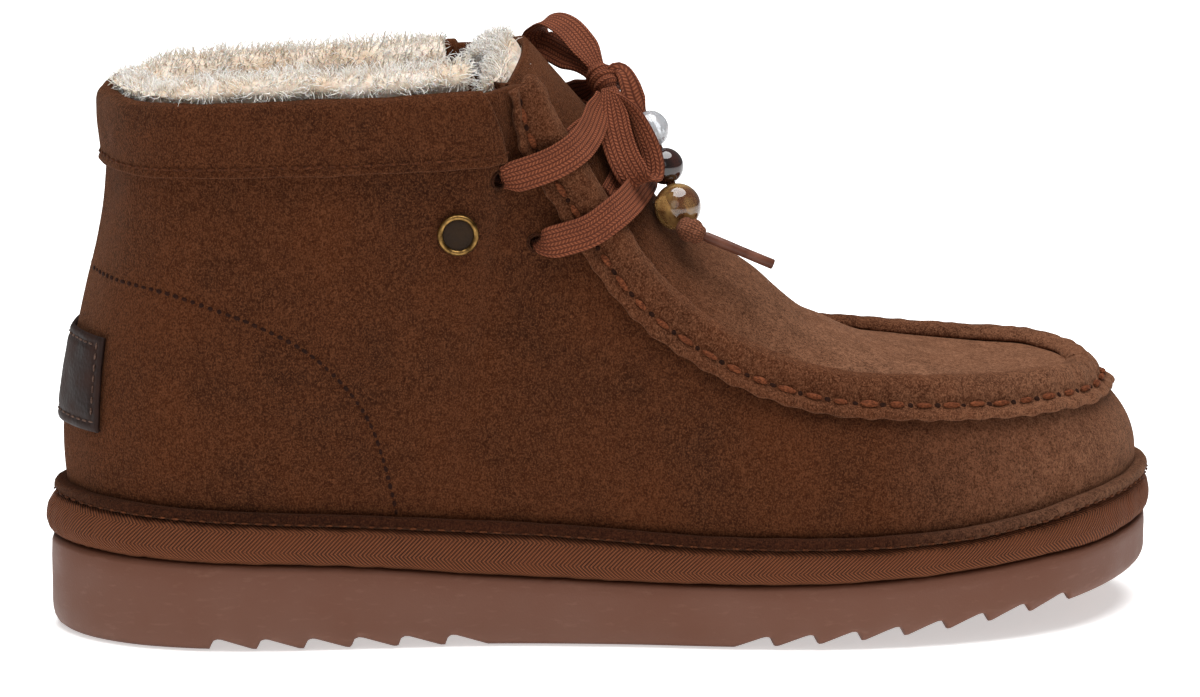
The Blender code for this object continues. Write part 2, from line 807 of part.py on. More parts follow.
def build_cuff(upper, tree, parts, looks):
    """The folded band round the collar, its ends cut along the throat strips."""
    sections = []
    up = np.array([0.0, 0.0, 1.0])
    rows = list(np.linspace(CUFF_ROW, CUFF_ROW - 0.8, 6))
    rows += [row for row in upper.steps[::-1] if row < CUFF_ROW - 0.9]
    for row, side in [(row, -1) for row in rows] + [(row, 1) for row in rows[-2::-1]]:
        edge = upper.top(row, side)
        share = max(0.0, (row - CUFF_LEAN_ROW) / (CUFF_ROW - CUFF_LEAN_ROW))
        down = np.array([CUFF_LEAN * share * share, 0.0, -1.0])
        gap = GAP * (1.3 + 2 * share)

        def wall_point(reach, lift):
            return on_wall(tree, edge + down * reach, lift)

        rim = wall_point(0.5 * MM, 0.0)
        out = unit((wall_point(2 * MM, MM) - wall_point(2 * MM, 0)) * np.array([1, 1, 0]))
        inner = WALL + 2 * GAP
        sections.append([
            wall_point(CUFF_DEPTH, gap),
            wall_point(CUFF_DEPTH, gap + 0.6 * CUFF_THICKNESS),
            wall_point(0.88 * CUFF_DEPTH, gap + CUFF_THICKNESS),
            wall_point(0.2 * CUFF_DEPTH, gap + CUFF_THICKNESS),
            rim + up * 0.6 * CUFF_ROLL + out * (gap + 0.8 * CUFF_THICKNESS),
            rim + up * (GAP + CUFF_ROLL) - out * 0.3 * WALL,
            rim + up * 0.6 * CUFF_ROLL - out * (inner + 0.6 * CUFF_TURN),
            rim - up * CUFF_TURN_DEPTH - out * (inner + CUFF_TURN),
            rim - up * CUFF_TURN_DEPTH - out * inner,
            rim + up * (0.5 * MM + GAP) - out * inner,
            rim + up * (0.5 * MM + GAP) + out * gap,
            wall_point(0.5 * CUFF_DEPTH, gap),
        ])
    swept("cuff", sections, looks["suede"], parts)


def raise_locks(item, length, pull, seed, chosen):
    """Draw locks of wool out of chosen faces, fused to the solid."""
    rng = random.Random(seed)
    bm = bmesh.new()
    bm.from_mesh(item.data)
    picked = [face for face in bm.faces if len(face.verts) == 4 and chosen(face)]
    made = bmesh.ops.extrude_discrete_faces(bm, faces=picked)
    for face in made["faces"]:
        middle = face.calc_center_median()
        reach = length * rng.uniform(0.7, 1.15)
        lean = Vector([rng.uniform(-0.3, 0.3) for _ in range(3)])
        move = (face.normal + pull + lean).normalized() * reach
        for vert in face.verts:
            vert.co = middle + (vert.co - middle) * 0.3 + move
    bm.to_mesh(item.data)
    bm.free()


def build_collar_wool(upper, parts, looks):
    """Deep wool inside the collar, standing above the cuff in locks."""
    start = WALL + 3 * GAP + CUFF_TURN
    deep = start + WOOL_THICKNESS
    profile = [
        (-WOOL_DEPTH, start), (-0.35 * WOOL_DEPTH, start), (CUFF_ROLL + GAP, start),
        (CUFF_ROLL + 2 * GAP, WALL), (0.75 * WOOL_RISE, 0.9 * WALL), (WOOL_RISE, start + 2 * MM),
        (0.55 * WOOL_RISE, deep), (-0.2 * WOOL_DEPTH, deep + MM), (-0.6 * WOOL_DEPTH, deep),
        (-WOOL_DEPTH, deep - 2 * MM),
    ]
    sections = []
    for row, side in both_sides(WOOL_ROW, 0.0, 17):
        edge = upper.top(row, side)
        section = []
        for height, depth in profile:
            v = 1 + min(height, 0.0) / UPPER_HEIGHT
            spot = upper.wall(row, side, v)
            beyond = upper.wall(row, side, v - 0.02)
            out = unit(np.cross(edge - beyond, upper.wall(row + 0.1, side, v)
                                - upper.wall(max(row - 0.1, 0), side, v)) * side)
            out = unit(out * np.array([1, 1, 0]))
            if row < 0.05:
                out = np.array([-1.0, 0.0, 0.0])
            section.append(spot + np.array([0, 0, max(height, 0.0)]) - out * depth)
        sections.append(section)
    item = swept("fur_collar", sections, looks["wool"], parts)
    rim = band_top(station_x(0.2)) + UPPER_HEIGHT
    raise_locks(item, LOCK_LENGTH, Vector((0, 0, 0.6)), 4,
                lambda face: face.calc_center_median().z > rim + 0.45 * WOOL_RISE
                and face.normal.z > 0.1)


def build_tongue_wool(upper, parts, looks):
    """Deep wool on the tongue's back, standing above its top edge."""
    front = WALL + TONGUE_CLEARANCE + TONGUE_THICKNESS + 2 * GAP
    rows = np.linspace(TONGUE_TOP_ROW - 0.05, TONGUE_TOP_ROW + 2.3, 6)
    spots = np.linspace(-0.8, 0.8, 9)
    outer = []
    inner = []
    for row in rows:
        lift = 0.5 * WOOL_RISE * max(0.0, 1 - (row - rows[0]) / 0.2)
        for t in spots:
            point = upper.instep(row, t)
            normal = upper.instep_normal(row, t)
            rise = unit(upper.instep(row, t) - upper.instep(row + 0.2, t)) * lift
            outer.append(point - normal * front + rise)
            inner.append(point - normal * (front + 0.7 * WOOL_THICKNESS) + rise)
    width = len(spots)
    sections = []
    for r in range(len(rows)):
        a = outer[r * width:(r + 1) * width]
        b = inner[r * width:(r + 1) * width]
        sections.append(a + b[::-1])
    item = swept("fur_tongue", sections, looks["wool"], parts)
    raise_locks(item, 0.8 * LOCK_LENGTH, Vector((0, 0, 0.5)), 9,
                lambda face: face.calc_center_median().x < -22 * MM and face.normal.x < -0.3)


def build_heel_patch(upper, tree, parts, looks):
    """A bare leather patch that wraps the back of the heel."""
    outer = []
    inner = []
    columns = 11
    levels = 5
    swing = PATCH_WIDTH / (2 * 34 * MM)
    for angle in np.linspace(-swing, swing, columns):
        for z in np.linspace(-0.5, 0.5, levels):
            start = (station_x(0.13), 0, PATCH_MIDDLE + z * PATCH_HEIGHT)
            spot = through_wall(tree, start, (-math.cos(angle), math.sin(angle), 0))
            outer.append(on_wall(tree, spot, 2 * GAP + PATCH_THICKNESS))
            inner.append(on_wall(tree, spot, 2 * GAP))
    sections = []
    for c in range(columns):
        a = outer[c * levels:(c + 1) * levels]
        b = inner[c * levels:(c + 1) * levels]
        sections.append(a + b[::-1])
    swept("heel_patch", sections, looks["leather"], parts)


def build_button(tree, parts, looks):
    """A bare metal-rimmed button on the outer side."""
    spot = through_wall(tree, (station_x(BUTTON_ALONG), 0, BUTTON_Z), (0, -1, 0))
    seat = on_wall(tree, spot, 2 * GAP)
    out = unit(on_wall(tree, spot, GAP + MM) - on_wall(tree, spot, GAP))
    radius = BUTTON_DIAMETER / 2
    profile = [(0, 0.6 * BUTTON_HEIGHT), (0.74 * radius, 0.6 * BUTTON_HEIGHT),
               (0.8 * radius, BUTTON_HEIGHT), (0.93 * radius, 0.95 * BUTTON_HEIGHT),
               (radius, 0.5 * BUTTON_HEIGHT), (0.9 * radius, 0), (0, 0)]
    item = turned("side_button", profile, 16, looks["brass"], parts)
    item.location = seat
    item.rotation_euler = Vector(out).to_track_quat("Z", "Y").to_euler()


def turned(name, profile, segments, material, collection):
    """A solid turned about its own Z axis from a profile that starts and ends on it."""
    bm = bmesh.new()
    verts = [bm.verts.new((r, 0, z)) for r, z in profile]
    for a, b in zip(verts, verts[1:]):
        bm.edges.new((a, b))
    mesh = bpy.data.meshes.new(name)
    bm.to_mesh(mesh)
    bm.free()
    item = place(name, mesh, material, collection)
    spin = item.modifiers.new("turn", "SCREW")
    spin.axis = "Z"
    spin.steps = segments
    spin.render_steps = segments
    spin.use_merge_vertices = True
    spin.merge_threshold = 0.00001
    spin.use_normal_calculate = True
    return item


# Laces and beads

def ribbon(name, route, material, collection, width=LACE_WIDTH, step=5 * MM, ends=(1, 1)):
    """A flat lace along a route whose rows give a place and the way its face looks.

    ends gives the shares of the width that are left where each end is drawn into the knot.
    """
    rows = smooth_path(route, step)
    sections = []
    for i, row in enumerate(rows):
        ahead = unit(rows[min(i + 1, len(rows) - 1)][:3] - rows[max(i - 1, 0)][:3])
        face = unit(row[3:] - ahead * ahead.dot(row[3:]))
        drawn = min(1, ends[0] + 0.3 * i, ends[1] + 0.3 * (len(rows) - 1 - i))
        across = np.cross(ahead, face) * width * drawn / 2
        up = face * LACE_THICKNESS / 2
        point = row[:3]
        sections.append([point + across, point + across * 0.7 + up, point - across * 0.7 + up,
                         point - across, point - across * 0.7 - up, point + across * 0.7 - up])
    return swept(name, sections, material, collection)


def in_metres(route):
    """A hand-placed route with its places in millimetres, in metres."""
    return [(x * MM, y * MM, z * MM, *face) for x, y, z, *face in route]


def mirrored(route):
    """The same route on the other side of the shoe."""
    return tuple((x, -y, z, a, -b, c) for x, y, z, a, b, c in route)


LOWER_BAR = (
    (-15.4, -32.0, 98.4, 0.0, -0.99, 0.1), (-11.5, -33.4, 99.6, -0.1, -0.98, 0.15),
    (-6.5, -34.8, 102.0, 0.15, -0.95, 0.2), (-0.6, -33.0, 105.6, 0.54, -0.72, 0.44),
    (3.6, -26.5, 107.4, 0.58, -0.66, 0.46), (6.9, -17.0, 108.4, 0.68, -0.54, 0.5),
    (9.8, -8.0, 109.6, 0.78, -0.3, 0.52), (10.7, 0.0, 110.1, 0.84, 0.0, 0.54),
)
UPPER_BAR = (
    (-24.6, -31.4, 114.4, 0.4, -0.9, 0.0), (-20.6, -32.6, 115.9, 0.3, -0.93, 0.1),
    (-15.2, -33.0, 118.4, 0.35, -0.91, 0.22), (-9.4, -30.6, 121.3, 0.59, -0.69, 0.43),
    (-5.6, -23.0, 123.6, 0.62, -0.62, 0.48), (-2.9, -14.5, 126.4, 0.7, -0.45, 0.55),
    (-0.9, -7.8, 129.1, 0.76, -0.2, 0.6),
)
CROSS_UNDER = (
    (-0.6, -22.0, 107.8, 0.6, -0.65, 0.47), (2.7, -15.0, 112.0, 0.68, -0.5, 0.53),
    (3.3, -7.5, 117.1, 0.75, -0.3, 0.58), (2.2, 0.0, 120.9, 0.79, 0.0, 0.62),
    (-1.8, 8.0, 122.9, 0.75, 0.3, 0.6), (-6.2, 15.6, 122.8, 0.68, 0.52, 0.53),
    (-9.6, 20.6, 121.4, 0.62, 0.62, 0.48),
)
CROSS_OVER = (
    (-0.6, 22.0, 107.8, 0.6, 0.65, 0.47), (2.8, 15.0, 112.1, 0.68, 0.5, 0.53),
    (4.0, 7.5, 117.7, 0.75, 0.3, 0.58), (2.8, 0.0, 121.4, 0.79, 0.0, 0.62),
    (-0.4, -8.0, 124.0, 0.75, -0.3, 0.6), (-6.1, -15.6, 122.9, 0.68, -0.52, 0.53),
    (-9.6, -20.6, 121.4, 0.62, -0.62, 0.48),
)
LOOP_NEAR = (
    (2.2, -7.4, 131.2, -0.75, 0.2, -0.6), (2.4, -9.8, 128.6, -0.78, 0.15, -0.6),
    (2.8, -14.0, 122.8, -0.85, 0.0, -0.5), (3.8, -17.8, 116.6, -0.85, 0.0, -0.5),
    (5.8, -20.0, 112.3, -0.7, 0.0, -0.7), (9.1, -21.0, 110.8, 0.0, -0.1, -1.0),
    (12.0, -20.2, 112.7, 0.8, 0.0, -0.5), (12.9, -18.6, 116.2, 1.0, 0.0, 0.0),
    (10.4, -15.4, 121.6, 0.85, 0.0, 0.5), (7.8, -12.2, 126.0, 0.8, 0.0, 0.6),
    (5.2, -9.2, 128.8, 0.7, 0.0, 0.7), (3.0, -7.2, 130.6, 0.5, -0.3, 0.8),
)
LOOP_FAR = (
    (-1.4, 2.4, 136.0, 0.3, -0.8, 0.4), (-3.6, 5.4, 138.2, 0.35, -0.8, 0.4),
    (-6.6, 9.6, 141.0, 0.35, -0.8, 0.45), (-10.2, 14.6, 143.4, 0.2, -0.6, 0.75),
    (-14.0, 20.6, 143.2, -0.3, 0.2, 0.95), (-16.2, 25.4, 139.4, -0.6, 0.75, 0.2),
    (-13.8, 23.6, 135.4, -0.3, 0.85, -0.3), (-9.4, 16.6, 134.2, -0.2, 0.85, -0.45),
    (-5.2, 9.2, 133.6, -0.3, 0.7, -0.55), (-2.2, 4.6, 133.5, -0.4, 0.6, -0.6),
)
END_NEAR = (
    (4.9, -1.6, 136.6, 0.4, -0.75, 0.5), (6.9, -3.0, 135.1, 0.4, -0.8, 0.45),
    (8.2, -4.4, 131.8, 0.35, -0.85, 0.35), (9.7, -5.2, 128.8, 0.3, -0.9, 0.3),
    (11.3, -5.5, 125.8, 0.3, -0.9, 0.3),
)
END_FAR = (
    (2.6, 4.6, 130.4, 0.75, 0.3, 0.6), (3.6, 9.0, 125.6, 0.75, 0.4, 0.55),
    (3.6, 15.0, 120.4, 0.7, 0.5, 0.5), (2.2, 22.0, 116.0, 0.62, 0.62, 0.48),
    (-0.6, 30.2, 113.2, 0.56, 0.7, 0.44), (-4.0, 35.6, 110.2, 0.2, 0.95, 0.25),
    (-4.6, 38.0, 105.6, 0.0, 1.0, 0.0), (-4.4, 39.6, 101.1, 0.0, 1.0, 0.0),
)
KNOT_MIDDLE = (1.0, -0.8, 132.2)
KNOT_RADII = (4.2, 4.9, 4.9)


class Bead(NamedTuple):
    """A bead on a lace end: its finish, diameter and middle in millimetres."""

    name: str
    diameter: float
    x: float
    y: float
    z: float


BEADS = (
    Bead("bead_near_clear", 9.4, 12.8, -5.5, 120.1), Bead("bead_near_dark", 9.0, 16.6, -9.0, 110.4),
    Bead("bead_near_amber", 11.4, 18.6, -13.2, 101.0), Bead("bead_far_clear", 9.4, -4.2, 41.0, 96.1),
    Bead("bead_far_dark", 9.0, -3.0, 42.2, 86.6), Bead("bead_far_amber", 11.4, -1.6, 43.6, 76.1),
)


class Tip(NamedTuple):
    """A lace end's knot with its tip, in millimetres: the knot's middle and the tip's end."""

    name: str
    knot: tuple
    end: tuple


TIPS = (
    Tip("lace_tip_near", (24.3, -19.1, 95.4), (44.0, -21.7, 86.5)),
    Tip("lace_tip_far", (-0.4, 44.4, 66.4), (2.6, 46.0, 45.0)),
)
KNOT_LENGTH = 7.4 * MM
KNOT_WIDTH = 5.8 * MM
TIP_WIDTH = 2.5 * MM


def ball(name, middle, radii, material, collection):
    """A round or oval solid."""
    bm = bmesh.new()
    bmesh.ops.create_uvsphere(bm, u_segments=10, v_segments=6, radius=MM)
    for vert in bm.verts:
        vert.co = Vector([a * r for a, r in zip(vert.co, radii)])
    mesh = bpy.data.meshes.new(name)
    bm.to_mesh(mesh)
    bm.free()
    mesh.shade_smooth()
    item = place(name, mesh, material, collection)
    item.location = Vector(middle) * MM
    return item


def build_laces(parts, cutters, looks):
    """Bars and crossing over the throat, and the bow with its beaded ends."""
    lace = looks["lace"]
    ribbon("lace_bar_lower", in_metres(LOWER_BAR + mirrored(LOWER_BAR[:-1])[::-1]), lace, parts)
    ribbon("lace_bar_near", in_metres(UPPER_BAR), lace, parts, ends=(1, 0.6))
    ribbon("lace_bar_far", in_metres(mirrored(UPPER_BAR)), lace, parts, ends=(1, 0.6))
    under = ribbon("cross_under", in_metres(CROSS_UNDER), lace, cutters, CROSS_WIDTH)
    crossing = ribbon("lace_crossing", in_metres(CROSS_OVER), lace, parts, CROSS_WIDTH)
    hide(under)
    cut(crossing, under, "UNION")
    ribbon("bow_loop_near", in_metres(LOOP_NEAR), lace, parts, BOW_WIDTH, 4 * MM, (0.5, 0.5))
    ribbon("bow_loop_far", in_metres(LOOP_FAR), lace, parts, BOW_WIDTH, 4 * MM, (0.5, 0.5))
    ribbon("lace_end_near", in_metres(END_NEAR), lace, parts, END_WIDTH, 3 * MM, (0.6, 0.5))
    ribbon("lace_end_far", in_metres(END_FAR), lace, parts, END_WIDTH, ends=(0.6, 0.5))
    ball("bow_knot", KNOT_MIDDLE, KNOT_RADII, lace, parts)
    for bead in BEADS:
        look = looks[bead.name.split("_")[-1]]
        ball(bead.name, bead[2:], [bead.diameter / 2] * 3, look, parts)
    for tip in TIPS:
        reach = (Vector(tip.end) - Vector(tip.knot)) * MM
        profile = [(0, reach.length), (TIP_WIDTH / 2, reach.length),
                   (TIP_WIDTH / 2, 0.48 * KNOT_LENGTH), (0.42 * KNOT_WIDTH, 0.3 * KNOT_LENGTH),
                   (0.5 * KNOT_WIDTH, 0), (0.42 * KNOT_WIDTH, -0.3 * KNOT_LENGTH),
                   (0.2 * KNOT_WIDTH, -0.48 * KNOT_LENGTH), (0, -0.5 * KNOT_LENGTH)]
        item = turned(tip.name, profile, 10, looks["leather"], parts)
        item.location = Vector(tip.knot) * MM
        item.rotation_euler = reach.to_track_quat("Z", "Y").to_euler()


def main():
    """Build the boot."""
    clear_scene()
    parts = bpy.data.collections.new("sheepskin_boot")
    cutters = bpy.data.collections.new("cutters")
    bpy.context.scene.collection.children.link(parts)
    bpy.context.scene.collection.children.link(cutters)
    looks = {
        "suede": finish("brown suede", (0.127, 0.045, 0.019), 0.95),
        "rubber": finish("brown rubber", (0.205, 0.091, 0.061), 0.6),
        "tape": finish("woven tape", (0.188, 0.061, 0.021), 0.85),
        "wool": finish("wool", (0.85, 0.80, 0.72), 1.0),
        "leather": finish("dark leather", (0.052, 0.027, 0.023), 0.5),
        "brass": finish("old brass", (0.35, 0.23, 0.10), 0.4, 1.0),
        "lace": finish("lace", (0.26, 0.075, 0.026), 0.85),
        "clear": finish("clear glass", (0.85, 0.87, 0.9), 0.05, alpha=0.4),
        "dark": finish("dark glass", (0.03, 0.012, 0.01), 0.08),
        "amber": finish("amber glass", (0.45, 0.24, 0.07), 0.08),
    }
    build_platform(parts, cutters, looks)
    upper = Upper()
    tree = wall_tree(upper)
    build_upper(upper, tree, parts, cutters, looks)
    build_tongue(upper, tree, parts, looks)
    build_seam_strip(upper, parts, looks)
    build_apron_rim(upper, tree, parts, looks)
    build_cuff(upper, tree, parts, looks)
    build_collar_wool(upper, parts, looks)
    build_tongue_wool(upper, parts, looks)
    build_heel_patch(upper, tree, parts, looks)
    build_button(tree, parts, looks)
    build_laces(parts, cutters, looks)


main()
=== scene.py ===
"""Sheepskin moccasin boot, right shoe, dressed for a studio picture.

Frame: metres, +X to the toe, -Y the outer side, +Z up, the floor at z = 0.
"""
from __future__ import annotations

import json
import logging
import math
from collections.abc import Callable, Sequence
from dataclasses import dataclass
from enum import Enum
from typing import NamedTuple

import bmesh
import bpy
import numpy as np
from mathutils import Matrix, Vector, noise
from mathutils.bvhtree import BVHTree

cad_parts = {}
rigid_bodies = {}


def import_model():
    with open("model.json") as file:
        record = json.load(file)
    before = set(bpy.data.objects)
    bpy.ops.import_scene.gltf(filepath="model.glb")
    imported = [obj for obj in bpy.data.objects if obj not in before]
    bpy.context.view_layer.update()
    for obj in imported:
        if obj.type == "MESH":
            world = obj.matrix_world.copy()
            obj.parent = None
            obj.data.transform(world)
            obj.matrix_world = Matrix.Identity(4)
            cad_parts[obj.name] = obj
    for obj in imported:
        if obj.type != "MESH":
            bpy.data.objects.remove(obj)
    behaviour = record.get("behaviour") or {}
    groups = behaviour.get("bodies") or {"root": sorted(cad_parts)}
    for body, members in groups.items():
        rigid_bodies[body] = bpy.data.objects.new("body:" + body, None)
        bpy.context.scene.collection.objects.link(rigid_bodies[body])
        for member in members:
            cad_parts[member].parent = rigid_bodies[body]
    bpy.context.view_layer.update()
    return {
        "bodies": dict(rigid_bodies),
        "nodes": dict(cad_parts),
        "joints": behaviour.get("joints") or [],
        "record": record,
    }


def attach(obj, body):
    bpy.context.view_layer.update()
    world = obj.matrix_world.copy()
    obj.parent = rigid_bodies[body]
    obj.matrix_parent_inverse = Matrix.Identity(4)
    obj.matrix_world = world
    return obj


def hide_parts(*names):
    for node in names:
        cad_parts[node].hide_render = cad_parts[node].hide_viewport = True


LOG = logging.getLogger("boot")
MM = 0.001
SOLE_LENGTH = 272 * MM
BALL_WIDTH = 100 * MM
UPPER_HEIGHT = 100 * MM
WALL = 2.5 * MM
GAP = 0.35 * MM


class Girth(NamedTuple):
    """Half widths of the taped band at a station, as shares of the ball width."""

    along: float
    lateral: float
    medial: float


GIRTHS = (
    Girth(0.022, 0.17, 0.17), Girth(0.059, 0.27, 0.27), Girth(0.114, 0.34, 0.34),
    Girth(0.188, 0.37, 0.37), Girth(0.279, 0.37, 0.36), Girth(0.390, 0.37, 0.34),
    Girth(0.500, 0.41, 0.36), Girth(0.610, 0.47, 0.42), Girth(0.702, 0.50, 0.48),
    Girth(0.794, 0.48, 0.50), Girth(0.868, 0.42, 0.48), Girth(0.923, 0.33, 0.42),
    Girth(0.963, 0.21, 0.33), Girth(0.989, 0.08, 0.22),
)


class Stack(NamedTuple):
    """Platform heights at a station: shares of the heel stack and of the band height."""

    along: float
    outsole: float
    band: float


STACKS = (
    Stack(0.00, 1.00, 1.03), Stack(0.11, 0.96, 0.97), Stack(0.235, 0.91, 0.93),
    Stack(0.41, 0.747, 1.00), Stack(0.59, 0.68, 0.87), Stack(0.70, 0.711, 0.80),
    Stack(0.805, 0.787, 0.75), Stack(0.875, 0.862, 0.80), Stack(0.93, 0.90, 0.95),
    Stack(1.00, 0.98, 0.95),
)


class Edge(NamedTuple):
    """One row round the upper, from the heel (first) to the toe (last).

    foot, x and crown_x are shares of the sole length, lateral and medial of the ball
    width, rise and crown_rise of the upper height; low and high swell the wall, in mm.
    """

    foot: float
    x: float
    lateral: float
    medial: float
    rise: float
    low: float
    high: float
    crown_x: float
    crown_rise: float


EDGES = (
    Edge(0.0000, 0.0533, 0.000, 0.000, 0.985, 4.0, -4.0, 0.430, 1.200),
    Edge(0.0404, 0.0699, 0.170, 0.170, 0.989, 3.6, -3.4, 0.430, 1.200),
    Edge(0.0846, 0.1158, 0.290, 0.290, 1.003, 3.0, -2.0, 0.430, 1.200),
    Edge(0.1470, 0.1801, 0.335, 0.335, 1.020, 2.5, -0.8, 0.430, 1.200),
    Edge(0.2353, 0.2794, 0.345, 0.345, 1.037, 2.5, 0.0, 0.430, 1.200),
    Edge(0.3235, 0.3787, 0.355, 0.355, 1.068, 3.0, 0.5, 0.430, 1.200),
    Edge(0.3603, 0.4210, 0.280, 0.280, 1.083, 3.0, 0.5, 0.454, 1.131),
    Edge(0.4007, 0.4393, 0.275, 0.275, 0.992, 3.0, 0.8, 0.4816, 1.052),
    Edge(0.4522, 0.4688, 0.285, 0.285, 0.871, 3.2, 1.2, 0.511, 0.961),
    Edge(0.5037, 0.5000, 0.305, 0.305, 0.740, 3.3, 1.6, 0.5452, 0.850),
    Edge(0.5588, 0.5313, 0.325, 0.325, 0.629, 3.3, 2.0, 0.5772, 0.722),
    Edge(0.6176, 0.5754, 0.340, 0.335, 0.529, 3.3, 2.3, 0.6121, 0.654),
    Edge(0.6765, 0.6397, 0.350, 0.350, 0.432, 3.3, 2.3, 0.6544, 0.559),
    Edge(0.7353, 0.7004, 0.350, 0.353, 0.382, 3.3, 2.3, 0.6985, 0.477),
    Edge(0.8015, 0.7721, 0.330, 0.340, 0.355, 3.0, 2.2, 0.7721, 0.377),
    Edge(0.8676, 0.8382, 0.275, 0.315, 0.323, 2.6, 1.9, 0.8419, 0.333),
    Edge(0.9228, 0.8934, 0.195, 0.255, 0.296, 2.5, 2.3, 0.8952, 0.304),
    Edge(0.9632, 0.9246, 0.085, 0.155, 0.277, 2.7, 3.0, 0.9246, 0.283),
    Edge(1.0000, 0.9357, -0.040, 0.040, 0.263, 2.8, 3.2, 0.9357, 0.263),
)
LAST_ROW = len(EDGES) - 1


# Curves

def rising_curve(keys: Sequence[float], values: Sequence[float]) -> Callable:
    """A smooth function through a column that never overshoots its rows.

    Args:
        keys: Where the rows are.
        values: The column's values there.

    Returns:
        A function of a number or an array.
    """
    keys = np.asarray(keys, float)
    values = np.asarray(values, float)
    steps = np.diff(keys)
    grades = np.diff(values) / steps
    slopes = np.zeros(len(keys))
    for i in range(1, len(keys) - 1):
        if grades[i - 1] * grades[i] > 0:
            before = 2 * steps[i] + steps[i - 1]
            after = steps[i] + 2 * steps[i - 1]
            slopes[i] = (before + after) / (before / grades[i - 1] + after / grades[i])
    slopes[0] = grades[0]
    slopes[-1] = grades[-1]

    def at(key: float | np.ndarray) -> float | np.ndarray:
        """The column's value at a key."""
        i = np.clip(np.searchsorted(keys, key) - 1, 0, len(steps) - 1)
        h = steps[i]
        t = np.clip((key - keys[i]) / h, 0, 1)
        return ((1 + 2 * t) * (1 - t) ** 2 * values[i] + t * (1 - t) ** 2 * h * slopes[i]
                + t * t * (3 - 2 * t) * values[i + 1] + t * t * (t - 1) * h * slopes[i + 1])

    return at


def run_along(places: np.ndarray) -> np.ndarray:
    """How far along a line each of its places is, from zero."""
    return np.concatenate([[0], np.cumsum(np.linalg.norm(np.diff(places, axis=0), axis=1))])


def resampled(places: np.ndarray, run: np.ndarray, wanted: np.ndarray) -> np.ndarray:
    """A line's places at other distances along it."""
    return np.stack([np.interp(wanted, run, column) for column in places.T], axis=1)


def smooth_loop(points: Sequence, count: int) -> np.ndarray:
    """A closed smooth curve through flat points, resampled at equal steps."""
    points = np.asarray(points, float)
    n = len(points)
    chords = np.linalg.norm(np.roll(points, -1, axis=0) - points, axis=1)
    dense = []
    for i in range(n):
        a, b, c, d = (points[(i + k) % n] for k in (-1, 0, 1, 2))
        before, here, after = chords[i - 1], chords[i], chords[(i + 1) % n]
        slope_b = ((b - a) / before * here + (c - b) / here * before) / (before + here)
        slope_c = ((c - b) / here * after + (d - c) / after * here) / (here + after)
        for t in np.linspace(0, 1, 40, endpoint=False):
            dense.append((1 + 2 * t) * (1 - t) ** 2 * b + t * (1 - t) ** 2 * here * slope_b
                         + t * t * (3 - 2 * t) * c + t * t * (t - 1) * here * slope_c)
    dense = np.array(dense + [dense[0]])
    run = run_along(dense)
    return resampled(dense, run, np.linspace(0, run[-1], count, endpoint=False))


def smooth_path(rows: Sequence, step: float) -> np.ndarray:
    """An open smooth curve through rows of numbers, a place first, at about equal steps."""
    rows = np.asarray(rows, float)
    padded = np.vstack([2 * rows[0] - rows[1], rows, 2 * rows[-1] - rows[-2]])
    dense = [rows[0]]
    for i in range(1, len(padded) - 2):
        a, b, c, d = padded[i - 1:i + 3]
        for t in np.linspace(0, 1, 24)[1:]:
            dense.append(0.5 * (2 * b + (c - a) * t + (2 * a - 5 * b + 4 * c - d) * t * t
                                + (3 * b - a - 3 * c + d) * t ** 3))
    dense = np.array(dense)
    run = run_along(dense[:, :3])
    wanted = np.linspace(0, run[-1], max(3, round(run[-1] / step) + 1))
    return resampled(dense, run, wanted)


def unit(vectors: np.ndarray) -> np.ndarray:
    """Vectors at length one, along the last axis."""
    size = np.linalg.norm(vectors, axis=-1, keepdims=True)
    return vectors / np.maximum(size, 1e-12)


def ease(low: float, high: float, value: np.ndarray) -> np.ndarray:
    """Zero below low and one above high, smooth between."""
    t = np.clip((value - low) / (high - low), 0, 1)
    return t * t * (3 - 2 * t)


def station_x(share: float | np.ndarray) -> float | np.ndarray:
    """The x of a share of the sole length."""
    return (share - 0.5) * SOLE_LENGTH


def outward(loop: np.ndarray) -> np.ndarray:
    """Unit normals of a closed flat loop, pointing out of it."""
    along = unit(np.roll(loop, -1, axis=0) - np.roll(loop, 1, axis=0))
    normals = np.stack([along[:, 1], -along[:, 0]], axis=1)
    return normals if np.sum(normals * (loop - loop.mean(axis=0))) > 0 else -normals


# Mesh work

def grid_faces(rows: int, columns: int) -> list:
    """Quads of a grid whose points are laid out row after row."""
    a = np.arange(rows - 1)[:, None] * columns + np.arange(columns - 1)[None]
    return np.stack([a, a + 1, a + columns + 1, a + columns], axis=-1).reshape(-1, 4).tolist()


